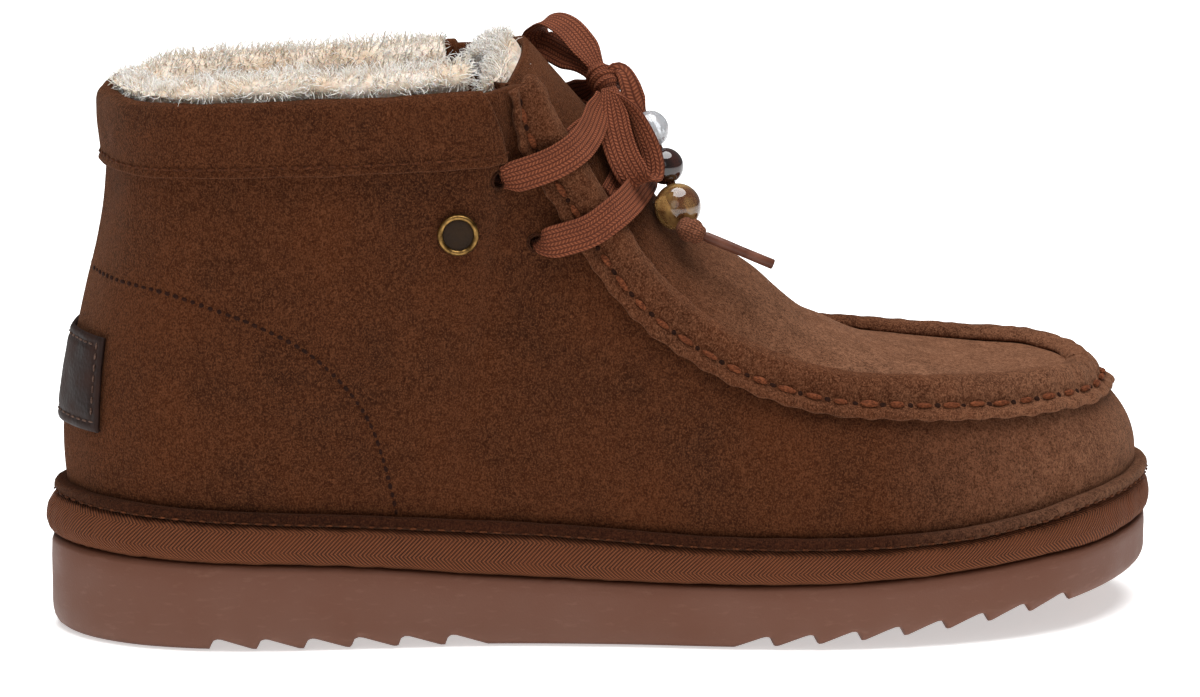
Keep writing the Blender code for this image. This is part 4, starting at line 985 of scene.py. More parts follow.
class NodeTree:
    """Builds a Geometry Nodes tree with named inputs, and runs it on meshes."""

    def __init__(self, name: str, inputs: dict) -> None:
        """Make the group.

        Args:
            name: The tree's name.
            inputs: Socket kind of each named input.
        """
        self.tree = bpy.data.node_groups.new(name, "GeometryNodeTree")
        face = self.tree.interface
        face.new_socket("Geometry", in_out="INPUT", socket_type="NodeSocketGeometry")
        self.keys = {key: face.new_socket(key, in_out="INPUT", socket_type=kind).identifier
                     for key, kind in inputs.items()}
        face.new_socket("Geometry", in_out="OUTPUT", socket_type="NodeSocketGeometry")
        self.start = self.tree.nodes.new("NodeGroupInput")
        self.end = self.tree.nodes.new("NodeGroupOutput")

    def add(self, kind: str, inputs: dict, **settings: object) -> bpy.types.NodeSocket:
        """A node with its settings made and its inputs fed; its first live output."""
        node = self.tree.nodes.new(kind)
        for key, value in settings.items():
            setattr(node, key, value)
        for key, value in inputs.items():
            socket = node.inputs[key]
            if isinstance(key, str):
                socket = next(s for s in node.inputs if s.name == key and s.enabled)
            if isinstance(value, bpy.types.NodeSocket):
                self.tree.links.new(value, socket)
            else:
                socket.default_value = value
        return next(s for s in node.outputs if s.enabled)

    def given(self, name: str) -> bpy.types.NodeSocket:
        """One of the tree's inputs."""
        return self.start.outputs[name]

    def close(self, geometry: bpy.types.NodeSocket) -> None:
        """End the tree: instances made real, and the finish set."""
        real = self.add("GeometryNodeRealizeInstances", {"Geometry": geometry})
        dressed = self.add("GeometryNodeSetMaterial",
                           {"Geometry": real, "Material": self.given("Finish")})
        self.tree.links.new(dressed, self.end.inputs[0])

    def run(self, mesh: bpy.types.Mesh, values: dict) -> bpy.types.Mesh:
        """The plain mesh that the tree makes of a mesh."""
        item = placed("work", mesh)
        modifier = item.modifiers.new("repeat", "NODES")
        modifier.node_group = self.tree
        for key, value in values.items():
            modifier[self.keys[key]] = value
        return plain(item, mesh.name)


class StitchTree(NodeTree):
    """Lays one rounded stitch at each point of a seam, turned along it."""

    def __init__(self) -> None:
        """Build the tree."""
        super().__init__("stitches along a seam", {
            "Size": "NodeSocketVector", "Spread": "NodeSocketFloat", "Seed": "NodeSocketInt",
            "Finish": "NodeSocketMaterial"})
        bead = self.add("GeometryNodeMeshUVSphere", {"Segments": 10, "Rings": 6, "Radius": 0.5})
        stitch = self.add("GeometryNodeTransform", {"Geometry": bead, "Scale": self.given("Size")})
        along = self.add("GeometryNodeInputNamedAttribute", {"Name": "along"},
                         data_type="FLOAT_VECTOR")
        upward = self.add("GeometryNodeInputNamedAttribute", {"Name": "up"},
                          data_type="FLOAT_VECTOR")
        turn = self.add("FunctionNodeAxesToRotation",
                        {"Primary Axis": along, "Secondary Axis": upward},
                        primary_axis="X", secondary_axis="Z")
        low = self.add("ShaderNodeMath", {0: 1.0, 1: self.given("Spread")}, operation="SUBTRACT")
        high = self.add("ShaderNodeMath", {0: 1.0, 1: self.given("Spread")}, operation="ADD")
        scale = self.add("FunctionNodeRandomValue",
                         {"Min": low, "Max": high, "Seed": self.given("Seed")},
                         data_type="FLOAT_VECTOR")
        row = self.add("GeometryNodeInstanceOnPoints", {
            "Points": self.given("Geometry"), "Instance": stitch, "Rotation": turn,
            "Scale": scale})
        self.close(row)


class LockTree(NodeTree):
    """Grows curved, tapering locks of wool from the marked part of a surface."""

    def __init__(self) -> None:
        """Build the tree."""
        super().__init__("locks of wool", {
            "Density": "NodeSocketFloat", "Length": "NodeSocketFloat",
            "Thickness": "NodeSocketFloat", "Lean": "NodeSocketFloat",
            "Rise": "NodeSocketFloat", "Seed": "NodeSocketInt", "Finish": "NodeSocketMaterial"})
        marked = self.add("GeometryNodeInputNamedAttribute", {"Name": "grow"}, data_type="FLOAT")
        spread = self.tree.nodes.new("GeometryNodeDistributePointsOnFaces")
        self.tree.links.new(self.given("Geometry"), spread.inputs["Mesh"])
        density = self.add("ShaderNodeMath", {0: self.given("Density"), 1: marked},
                           operation="MULTIPLY")
        self.tree.links.new(density, spread.inputs["Density"])
        self.tree.links.new(self.given("Seed"), spread.inputs["Seed"])
        wander = self.add("ShaderNodeTexNoise", {"Scale": 150.0, "Detail": 2.0})
        wander = wander.node.outputs["Color"]
        drift = self.add("ShaderNodeVectorMath", {0: wander, 1: (0.5, 0.5, 0.5)},
                         operation="SUBTRACT")
        drift = self.add("ShaderNodeVectorMath", {0: drift, "Scale": self.given("Lean")},
                         operation="SCALE")
        rise = self.add("ShaderNodeCombineXYZ", {2: self.given("Rise")})
        way = self.add("ShaderNodeVectorMath", {0: spread.outputs["Normal"], 1: drift},
                       operation="ADD")
        way = self.add("ShaderNodeVectorMath", {0: way, 1: rise}, operation="ADD")
        stand = self.add("FunctionNodeAlignRotationToVector", {"Vector": way}, axis="Z")
        spin = self.add("FunctionNodeRandomValue", {
            "Min": (-0.35, -0.35, -3.14), "Max": (0.35, 0.35, 3.14),
            "Seed": self.given("Seed")}, data_type="FLOAT_VECTOR")
        spin = self.add("FunctionNodeEulerToRotation", {0: spin})
        stand = self.add("FunctionNodeRotateRotation", {0: stand, 1: spin},
                         rotation_space="LOCAL")
        scale = self.add("FunctionNodeRandomValue", {
            "Min": 0.55, "Max": 1.3, "Seed": self.given("Seed")}, data_type="FLOAT")
        strand = self.add("GeometryNodeCurveQuadraticBezier", {
            "Resolution": 3, "Start": (0, 0, -0.08), "Middle": (-0.1, 0, 0.6),
            "End": (0.5, 0, 0.95)})
        strand = self.add("GeometryNodeTransform", {"Geometry": strand, "Scale": self.cube()})
        share = self.tree.nodes.new("GeometryNodeSplineParameter").outputs["Factor"]
        strand = self.add("GeometryNodeStoreNamedAttribute", {
            "Geometry": strand, "Name": "tip", "Value": share}, data_type="FLOAT",
            domain="POINT")
        thin = self.add("ShaderNodeMapRange", {"Value": share, "From Min": 0.0, "From Max": 1.0,
                                               "To Min": 1.0, "To Max": 0.12})
        strand = self.add("GeometryNodeSetCurveRadius", {"Curve": strand, "Radius": thin})
        ring = self.add("GeometryNodeCurvePrimitiveCircle",
                        {"Resolution": 3, "Radius": self.given("Thickness")}, mode="RADIUS")
        lock = self.tree.nodes.new("GeometryNodeCurveToMesh")
        self.tree.links.new(strand, lock.inputs["Curve"])
        self.tree.links.new(ring, lock.inputs["Profile Curve"])
        if "Scale" in lock.inputs:
            self.tree.links.new(thin, lock.inputs["Scale"])
        lock.inputs["Fill Caps"].default_value = True
        locks = self.add("GeometryNodeInstanceOnPoints", {
            "Points": spread.outputs["Points"], "Instance": lock.outputs[0],
            "Rotation": stand, "Scale": scale})
        joined = self.tree.nodes.new("GeometryNodeJoinGeometry")
        self.tree.links.new(locks, joined.inputs[0])
        self.tree.links.new(self.given("Geometry"), joined.inputs[0])
        self.close(joined.outputs[0])

    def cube(self) -> bpy.types.NodeSocket:
        """The length given for a lock, as a scale for all three axes."""
        length = self.given("Length")
        return self.add("ShaderNodeCombineXYZ", {0: length, 1: length, 2: length})


class Growth(NamedTuple):
    """How wool grows: locks per square metre, then their size, lean, rise and seed."""

    density: float
    length: float
    thickness: float
    lean: float
    rise: float
    seed: int


@dataclass
class Workshop:
    """Finishes, trees and the form that every piece is made with."""

    frame: dict
    form: BootForm

    def __post_init__(self) -> None:
        """Mix the finishes and build the trees."""
        self.finishes = {
            "suede": Suede("brown suede").build(),
            # The apron's suede carries a stronger painted highlight, from near its back, for the top
            # light on the upward-facing instep.
            "apron": Suede("apron suede with painted highlight", pale_from=6 * MM, pale_to=60 * MM,
                           pale_share=0.5).build(),
            "strip": Suede("strip suede", (50, 24, 11), (80, 42, 23), (126, 82, 57)).build(),
            "piping": Suede("dark piping suede", (30, 12, 5), (48, 21, 10), (76, 42, 25)).build(),
            "rubber": FoamRubber("foam rubber").build(),
            "tape": HerringboneTape("herringbone tape").build(),
            "lace": FlatBraid("flat braid").build(),
            "cord": FlatBraid("end braid", (66, 34, 20), (122, 72, 48), (156, 100, 72),
                              0.8 * MM, 0.9 * MM).build(),
            "wool": Fleece("sheep wool").build(),
            "leather": GrainLeather("patch leather").build(),
            "aglet": GrainLeather("tip sleeve", (70, 38, 28), (120, 78, 62), 2 * MM,
                                  0.22).build(),
            "thread": Thread("hand thread").build(),
            "fine thread": Thread("machine thread", (54, 27, 13), (98, 54, 30)).build(),
            # Painted shade: this dark finish colours the needle hole dots, and darkens the counter
            # seam's stitches with the shade of their holes.
            "dark thread and hole shade": Thread("painted needle hole shade", (30, 13, 6), (46, 22, 11)).build(),
            "patch thread": Thread("patch thread", (70, 52, 44), (112, 88, 76)).build(),
            "brass": OldBrass("old brass").build(),
            "dish": GrainLeather("dark dish", (30, 19, 11), (54, 38, 23), 0.8 * MM,
                                 0.62).build(),
            "clear": BeadGlass("clear glass", (206, 210, 216), (238, 241, 245), 0.6).build(),
            "dark": BeadGlass("dark glass", (22, 9, 7), (50, 24, 18), 0.1).build(),
            "amber": BeadGlass("amber glass", (110, 66, 36), (200, 158, 96), 0.5).build(),
        }
        self.stitches = StitchTree()
        self.locks = LockTree()

    def add(self, name: str, mesh: bpy.types.Mesh, finish: str, slot: str,
            *nodes: str) -> bpy.types.Object:
        """Put a finished mesh into the scene.

        Args:
            name: The piece's name.
            mesh: Its mesh, in its place.
            finish: The finish that it takes.
            slot: Not used.
            nodes: The CAD nodes that it stands for.

        Returns:
            The piece.
        """
        mesh.materials.clear()
        mesh.materials.append(self.finishes[finish])
        piece = placed(name, mesh)
        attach(piece, "root")
        if nodes:
            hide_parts(*nodes)
        mesh.calc_loop_triangles()
        LOG.info("%s: %d triangles", name, len(mesh.loop_triangles))
        return piece

    def sew(self, name: str, places: np.ndarray, ups: np.ndarray, size: tuple, finish: str,
            slot: str, spread: float = 0.15, seed: int = 1,
            alongs: np.ndarray | None = None) -> bpy.types.Object:
        """Lay a row of stitches.

        Args:
            name: The row's name.
            places: The stitches' middles, in order.
            ups: The ways out of the surface there.
            size: Length, width and height of a stitch in metres.
            finish: The thread.
            slot: Not used; only passed on to add.
            spread: How much the stitches differ.
            seed: Fixes their differences.
            alongs: The ways that the stitches run, or None to follow the row.

        Returns:
            The piece.
        """
        mesh = bpy.data.meshes.new(name)
        mesh.from_pydata(np.asarray(places).tolist(), [], [])
        if alongs is None:
            alongs = np.gradient(np.asarray(places), axis=0)
        for key, rows in (("along", unit(alongs)), ("up", unit(np.asarray(ups)))):
            layer = mesh.attributes.new(key, "FLOAT_VECTOR", "POINT")
            layer.data.foreach_set("vector", rows.astype(np.float32).ravel())
        made = self.stitches.run(mesh, {"Size": size, "Spread": spread, "Seed": seed,
                                        "Finish": self.finishes[finish]})
        return self.add(name, made, finish, slot)

    def grow(self, mesh: bpy.types.Mesh, rule: Callable, plan: Growth) -> bpy.types.Mesh:
        """Grow locks of wool on a mesh.

        Args:
            mesh: The padded body of the wool.
            rule: Gives how thickly locks grow, from the mesh's places and normals.
            plan: The locks.

        Returns:
            The mesh with its locks.
        """
        layer = mesh.attributes.new("grow", "FLOAT", "POINT")
        share = np.asarray(rule(places_of(mesh), normals_of(mesh)), np.float32)
        layer.data.foreach_set("value", share)
        values = {key.capitalize(): value for key, value in plan._asdict().items()}
        return self.locks.run(mesh, {**values, "Finish": self.finishes["wool"]})


def surface_tree(mesh: bpy.types.Mesh) -> BVHTree:
    """A finished mesh as a search tree."""
    return BVHTree.FromPolygons([Vector(p) for p in places_of(mesh)],
                                [tuple(face.vertices) for face in mesh.polygons])


def settled(tree: BVHTree, places: np.ndarray, lift: float) -> tuple:
    """Places brought onto a surface and lifted off it, and the ways out there."""
    spots = []
    ups = []
    for place in places:
        spot, normal, _, _ = tree.find_nearest(Vector(place))
        spots.append(spot + normal * lift)
        ups.append(normal)
    return np.array(spots), np.array(ups)


def paced(places: np.ndarray, pitch: float) -> np.ndarray:
    """A line's places resampled at about a pitch."""
    places = np.asarray(places, float)
    run = run_along(places)
    return resampled(places, run, np.linspace(0, run[-1], max(2, round(run[-1] / pitch) + 1)))


# The platform

@dataclass
class Platform:
    """Moulded outsole with saw-tooth notches, taped band and piping."""

    shop: Workshop
    stations: int = 620
    sole_inset: float = 1.3 * MM
    edge_round: float = 4.0 * MM
    bulge: float = 2.6 * MM
    notch_depth: float = 2.4 * MM
    heel_notches: int = 6
    heel_start: float = 0.1375
    heel_pitch: float = 11.4 * MM
    front_notches: int = 8
    front_start: float = 0.598
    front_pitch: float = 10.5 * MM
    piping_radius: float = 1.3 * MM
    piping_clearance: float = 0.7 * MM
    piping_steps: int = 720
    piping_tuck: float = 2.6
    fine: int = 2000

    def notch(self, x: np.ndarray) -> np.ndarray:
        """How far the saw-tooth notches cut into the underside: steep, then a long slope."""
        cut = np.zeros_like(x)
        teeth = [(station_x(self.heel_start) + k * self.heel_pitch, self.heel_pitch, 1)
                 for k in range(self.heel_notches)]
        teeth += [(station_x(self.front_start) + (k + 1) * self.front_pitch, self.front_pitch, -1)
                  for k in range(self.front_notches)]
        for start, pitch, way in teeth:
            share = (x - start) * way / (0.9 * pitch)
            depth = np.interp(share, [0.0, 0.06, 0.16, 0.26, 1.0], [0, 0.8, 1.0, 0.97, 0.0],
                              left=0, right=0)
            cut = np.maximum(cut, depth * self.notch_depth)
        return cut

    def ring(self, inset: float) -> np.ndarray:
        """An inset outline whose outer and inner points pair up straight across the shoe."""
        loop = self.shop.form.inset_outline(inset, 2 * self.fine)
        outer = loop[:self.fine + 1]
        inner = np.concatenate([loop[self.fine:], loop[:1]])[::-1]
        run = np.linspace(0, 1, self.stations + 1)
        xs = np.interp(run, np.linspace(0, 1, len(outer)), outer[:, 0])
        xs = np.maximum.accumulate(xs)
        near = np.interp(run, np.linspace(0, 1, len(outer)), outer[:, 1])
        order = np.maximum.accumulate(inner[:, 0])
        far = np.interp(xs, order, inner[:, 1])
        far[0], far[-1] = near[0], near[-1]
        return np.concatenate([np.stack([xs, near], axis=1),
                               np.stack([xs, far], axis=1)[-2:0:-1]])

    def slab(self, name: str, levels: Sequence) -> bpy.types.Mesh:
        """A layer through rings of (inset, height function), closed straight across."""
        rings = []
        for inset, height in levels:
            flat = self.ring(inset)
            rings.append(np.concatenate([flat, height(flat[:, 0])[:, None]], axis=1))
        grid = np.array(rings)
        grid = np.concatenate([grid, grid[:, :1]], axis=1)
        along = run_along(grid[len(grid) // 2])
        up = np.linalg.norm(np.diff(grid, axis=0), axis=2).mean(axis=1)
        across = np.concatenate([[0], np.cumsum(up)])
        uv = np.stack(np.broadcast_arrays(along[None], across[:, None]), axis=-1)
        size = grid.shape[1]
        faces = grid_faces(len(grid), size)
        half = self.stations
        for base in (0, (len(grid) - 1) * size):
            for i in range(half):
                j = 2 * half - i
                faces.append((base + i, base + i + 1, base + j - 1, base + j))
        return make_mesh(name, grid, faces, uv)

    def build(self) -> None:
        """Make the outsole, band, piping and their stitches, and dress the footbed."""
        form = self.shop.form

        def cut_under(x: np.ndarray) -> np.ndarray:
            """The underside with its notches."""
            return form.underside(x) + self.notch(x)

        def at(share: float) -> Callable:
            """A height at a share of the way up the outsole, notches fading upwards."""
            fade = max(0.0, 1 - share / 0.3)
            return lambda x: (form.underside(x) * (1 - share) + form.outsole_top(x) * share
                              + self.notch(x) * fade)

        inset, bend = self.sole_inset, self.edge_round
        levels = [(inset + bend, cut_under), (inset + 0.62 * bend, at(0.008)),
                  (inset + 0.34 * bend, at(0.045)), (inset + 0.14 * bend, at(0.11)),
                  (inset + 0.04 * bend, at(0.18)), (inset, at(0.27)), (inset, at(0.5)),
                  (inset - 0.1 * MM, at(0.75)), (inset, at(0.93)), (inset + 0.5 * MM, at(1.0))]
        self.shop.add("moulded_outsole", self.slab("moulded_outsole", levels), "rubber", "sole",
                      "outsole")
        self.tape()
        self.piping()
        self.shop.frame["nodes"]["insole"].data.materials.clear()
        self.shop.frame["nodes"]["insole"].data.materials.append(self.shop.finishes["wool"])

    def tape(self) -> None:
        """The platform's band in herringbone tape, full at its middle and folded under."""
        form = self.shop.form
        shares = np.linspace(0, 1, 19)
        profile = rising_curve([0, 0.14, 0.42, 0.68, 0.9, 1.0],
                               [1.0, 0.3, 0.0, 0.12, 0.6, 1.25])

        def at(share: float) -> Callable:
            """A height at a share of the band."""
            return lambda x: (form.outsole_top(x) * (1 - share) + form.band_top(x) * share
                              + GAP * (1 - share))

        levels = [(float(profile(s)) * self.bulge, at(s)) for s in shares]
        levels.append((2.4 * self.bulge, at(1.0)))
        mesh = self.slab("taped_band", levels)
        places = places_of(mesh)
        ripple = lumps(places * [1, 1, 0.3], 5 * MM, 3.0) * 0.22 + lumps(places, 14 * MM, 5.0) * 0.25
        toe = ease(0.09, 0.125, np.abs(places[:, 0] - 0.004))
        gathers = np.abs(lumps(places * [1, 1, 0.15], 2.4 * MM, 9.0)) * toe * 0.35
        self.shop.add("taped_band", pushed(mesh, (ripple - gathers) * MM), "tape", "tape",
                      "midsole")

    def piping(self) -> None:
        """The dark suede piping round the upper's foot, with its stitches."""
        form = self.shop.form
        reach = GAP + self.piping_radius + self.piping_clearance
        loop = form.inset_outline(lambda x: form.feather_inset(x) - reach, self.piping_steps)
        out = outward(loop)
        height = form.band_top(loop[:, 0]) + GAP + self.piping_radius
        middles = np.concatenate([loop, height[:, None]], axis=1)
        side = np.concatenate([out, np.zeros((self.piping_steps, 1))], axis=1)
        angles = np.linspace(0, 2 * math.pi, 14, endpoint=False)
        wide = 1.0 + 0.10 * lumps(middles, 6 * MM, 2.0)
        inward = np.where(np.cos(angles) < 0, self.piping_tuck, 1.0) * np.cos(angles)
        ring = (side[:, None] * inward[None, :, None]
                + np.array([0, 0, 1.15]) * np.sin(angles)[None, :, None])
        sections = middles[:, None] + ring * (self.piping_radius * wide)[:, None, None]
        sections = np.concatenate([sections, sections[:1]])
        self.shop.add("piping", swept_mesh("piping", sections, looped=True), "piping", "suede",
                      "seam_strip")
        low = middles + side * (self.piping_radius - 0.05 * MM)
        low[:, 2] -= 0.75 * self.piping_radius
        seam = paced(np.concatenate([low, low[:1]]), 3.4 * MM)[:-1]
        alongs = unit(np.roll(seam, -1, axis=0) - np.roll(seam, 1, axis=0))
        ups = np.cross(alongs, [0, 0, 1.0])
        ups *= np.sign(np.sum(ups * (seam * [1, 1, 0]), axis=1))[:, None]
        self.shop.sew("band_stitches", seam, ups + [0, 0, 0.8], (2.0 * MM, 0.6 * MM, 0.5 * MM),
                      "fine thread", "tape", 0.12, 3, alongs)


# The upper

WALL_CREASES = {
    Side.OUTER: (
        Crease(((-24, 92), (-14, 78), (-2, 64), (14, 51)), 7.0, 0.7),
        Crease(((26, 60), (33, 48), (32, 34)), 8.0, 0.8),
        Crease(((62, 46), (68, 36), (70, 30)), 9.0, -0.6),
        Crease(((-62, 108), (-52, 92), (-46, 72), (-48, 56)), 15.0, 0.8),
        Crease(((-34, 62), (-14, 50), (8, 44)), 9.0, 0.7),
        Crease(((-36, 84), (-22, 68), (-6, 56)), 9.0, -0.5),
        Crease(((-112, 104), (-108, 90), (-112, 76)), 8.0, 0.5),
        Crease(((84, 50), (96, 44), (104, 40)), 7.0, 0.45),
        Crease(((44, 44), (52, 36), (56, 30)), 7.0, 0.4),
    ),
    Side.INNER: (
        Crease(((-22, 92), (-12, 78), (0, 64), (16, 51)), 7.0, 0.8),
        Crease(((28, 58), (36, 46), (34, 34)), 8.0, 0.9),
        Crease(((-58, 106), (-50, 90), (-46, 66)), 15.0, 0.8),
        Crease(((-30, 60), (-10, 49), (10, 43)), 9.0, 0.8),
        Crease(((60, 48), (70, 38), (74, 32)), 9.0, -0.5),
    ),
}
APRON_CREASES = (
    Crease(((44, -24), (49, -10), (50, 6), (45, 24)), 4.5, 0.8),
    Crease(((33, -20), (37, -4), (36, 10), (32, 22)), 6.0, -0.9),
    Crease(((24, -26), (21, -8), (21, 8), (25, 24)), 4.5, 0.6),
    Crease(((60, -16), (63, 0), (61, 14)), 7.0, 0.35),
    Crease(((74, -14), (84, 0), (76, 14)), 8.0, -0.35),
)
COUNTER_SEAM = ((-124, 89), (-110, 87.5), (-99, 84.5), (-87, 80), (-75, 73.5), (-66, 65),
                (-60, 56), (-56.5, 46), (-54, 36), (-53, 31))


class LaceHole(NamedTuple):
    """A lace hole: shares of the sole length and of the upper height above the sole."""

    along: float
    rise: float


LACE_HOLES = (LaceHole(0.3953, 0.867), LaceHole(0.4302, 0.713))


@dataclass
class UpperWall:
    """The suede side wall, from the sole to the collar, throat and apron seam."""

    shop: Workshop
    columns: int = 270
    levels: int = 46
    wall: float = WALL
    hole: float = 4.0 * MM

    def build(self) -> None:
        """Make the wall, its lace holes and the counter's seam."""
        form = self.shop.form
        grid = form.wall_grid(form.even_rows(self.columns), np.linspace(0, 1, self.levels))
        mesh = make_mesh("side_wall", grid, grid_faces(*grid.shape[:2]), middle=heart)
        mesh = pushed(mesh, self.relief(places_of(mesh)))
        seam_tree = surface_tree(mesh)
        punches = self.punches()
        mesh = worked(mesh, ("SOLIDIFY", {"thickness": self.wall, "offset": -1}),
                      *[("BOOLEAN", {"operation": "DIFFERENCE", "object": punch})
                        for punch in punches])
        for punch in punches:
            bpy.data.objects.remove(punch, do_unlink=True)
        self.shop.add("side_wall", mesh, "suede", "suede", "upper")
        for side in Side:
            self.counter_seam(seam_tree, side)
        self.hole_rims()

    def relief(self, places: np.ndarray) -> np.ndarray:
        """Creases, soft swells, the sewn groove of the counter and the pull at the sole."""
        amount = np.zeros(len(places))
        for side in Side:
            near = places[:, 1] * side.value > 0
            amount[near] = creased(places[near][:, [0, 2]], WALL_CREASES[side])
        groove = Crease(COUNTER_SEAM, 1.1, 0.45)
        step = Crease(tuple((x - 1.6, z - 1.2) for x, z in COUNTER_SEAM), 3.0, -0.3)
        amount += creased(places[:, [0, 2]], (groove, step))
        amount += (0.5 * lumps(places, 32 * MM, 1.0) + 0.2 * lumps(places, 11 * MM, 4.0)) * MM
        height = places[:, 2] - self.shop.form.band_top(places[:, 0])
        return amount * ease(0, 12 * MM, height)

    def holes(self) -> list:
        """The middle of each lace hole on the wall."""
        form = self.shop.form
        spots = []
        for hole in LACE_HOLES:
            x = station_x(hole.along)
            height = float(form.band_top(x)) + hole.rise * UPPER_HEIGHT
            for side in Side:
                spots.append(form.through_wall((x, 0, height), (0, side.value, 0)))
        return spots

    def punches(self) -> list:
        """Round cutters for the lace holes."""
        made = []
        for spot in self.holes():
            bm = bmesh.new()
            bmesh.ops.create_cone(bm, cap_ends=True, segments=28, radius1=self.hole / 2,
                                  radius2=self.hole / 2, depth=6 * self.wall,
                                  matrix=Matrix.Translation(spot)
                                  @ Matrix.Rotation(math.pi / 2, 4, "X"))
            mesh = bpy.data.meshes.new("punch")
            bm.to_mesh(mesh)
            bm.free()
            made.append(placed("punch", mesh))
        return made

    def hole_rims(self) -> None:
        """A soft dark edge round each lace hole."""
        sections = []
        rings = []
        faces = []
        for spot in self.holes():
            out = unit(self.shop.form.on_wall(spot, 1 * MM) - self.shop.form.on_wall(spot, 0.0))
            flat = unit(np.cross(out, [0, 0, 1.0]))
            high = np.cross(flat, out)
            for a in np.linspace(0, 2 * math.pi, 33):
                way = flat * math.cos(a) + high * math.sin(a)
                centre = spot + way * (self.hole / 2 + 0.1 * MM) + out * 0.15 * MM
                sections.append([centre + 0.38 * MM * (way * math.cos(b) + out * math.sin(b))
                                 for b in np.linspace(0, 2 * math.pi, 9)])
            rings.append(len(sections))
        start = 0
        for end in rings:
            faces += [[start * 9 + i for i in face] for face in grid_faces(end - start, 9)]
            start = end
        self.shop.add("lace_hole_rims", make_mesh("lace_hole_rims", np.array(sections), faces),
                      "piping", "suede")

    def counter_seam(self, tree: BVHTree, side: Side) -> None:
        """The dotted seam of the heel counter."""
        line = smooth_path([(x * MM, z * MM, 0) for x, z in COUNTER_SEAM], 1 * MM)
        places = []
        for x, z, _ in line:
            hit = tree.ray_cast(Vector((x, 0, z)), Vector((0, side.value, 0)))[0]
            if hit is not None:
                places.append(hit)
        spots, ups = settled(tree, paced(places, 2.3 * MM), 0.05 * MM)
        name = f"counter_seam_{side.name.lower()}"
        # Dark stitches: thread, coloured also with the painted shade of the needle holes they sit
        # in.
        self.shop.sew(name, spots, ups, (1.5 * MM, 1.0 * MM, 0.55 * MM), "dark thread and hole shade",
                      "suede", 0.2, 5 + side.value)


@dataclass
class ApronTongue:
    """The apron over the toes, running on up into the tongue behind the throat."""

    shop: Workshop
    top_row: float = 5.6
    rows: int = 200
    arch: int = 47
    drop: float = 3.5 * MM
    wing: float = 6 * MM
    thickness: float = 2 * MM

    def build(self) -> None:
        """Make the apron and tongue."""
        form = self.shop.form
        probe = np.linspace(self.top_row, LAST_ROW - 0.03, 500)
        run = run_along(form.crown(probe))
        rows = np.interp(np.linspace(0, run[-1], self.rows), run, probe)
        grid = np.array([self.section(row) for row in rows])
        mesh = make_mesh("apron_tongue", grid, grid_faces(*grid.shape[:2]), middle=heart)
        mesh = pushed(mesh, self.relief(places_of(mesh)))
        self.shop.add("apron_tongue", walled(mesh, self.thickness), "apron", "suede", "tongue")

    def section(self, row: float) -> np.ndarray:
        """Points across: a wing under each edge, and the arch between them."""
        form = self.shop.form
        tuck = 1 - float(ease(9.0, 10.6, row))
        drop = self.drop * tuck
        wings = {}
        for side in Side:
            edge = form.top(row, side)
            along = form.top(row - 0.2, side) - form.top(row + 0.2, side)
            back = unit(np.array([-along[2], 0.0, along[0]]))
            back = back if back[0] < 0 else -back
            down = unit(form.wall(row, side, 0.94) - edge)
            way = unit(down * (1 - tuck) + back * tuck)
            reach = 1.6 * MM + (self.wing - 1.6 * MM) * tuck
            wings[side] = [form.on_wall(edge + way * reach * share, -drop - 0.35 * MM)
                           for share in (1.0, 0.7, 0.4)]
        t = np.linspace(-1, 1, self.arch) * (0.985 - 0.105 * tuck)
        arch = form.instep(row, t) - form.instep_normal(np.full(self.arch, row), t) * drop
        return np.array(wings[Side.OUTER] + list(arch) + wings[Side.INNER][::-1])

    def relief(self, places: np.ndarray) -> np.ndarray:
        """Folds over the instep and soft swells."""
        amount = creased(places[:, :2], APRON_CREASES) * (places[:, 0] > 12 * MM)
        amount += (0.45 * lumps(places, 22 * MM, 7.0) + 0.15 * lumps(places, 8 * MM, 2.0)) * MM
        return amount


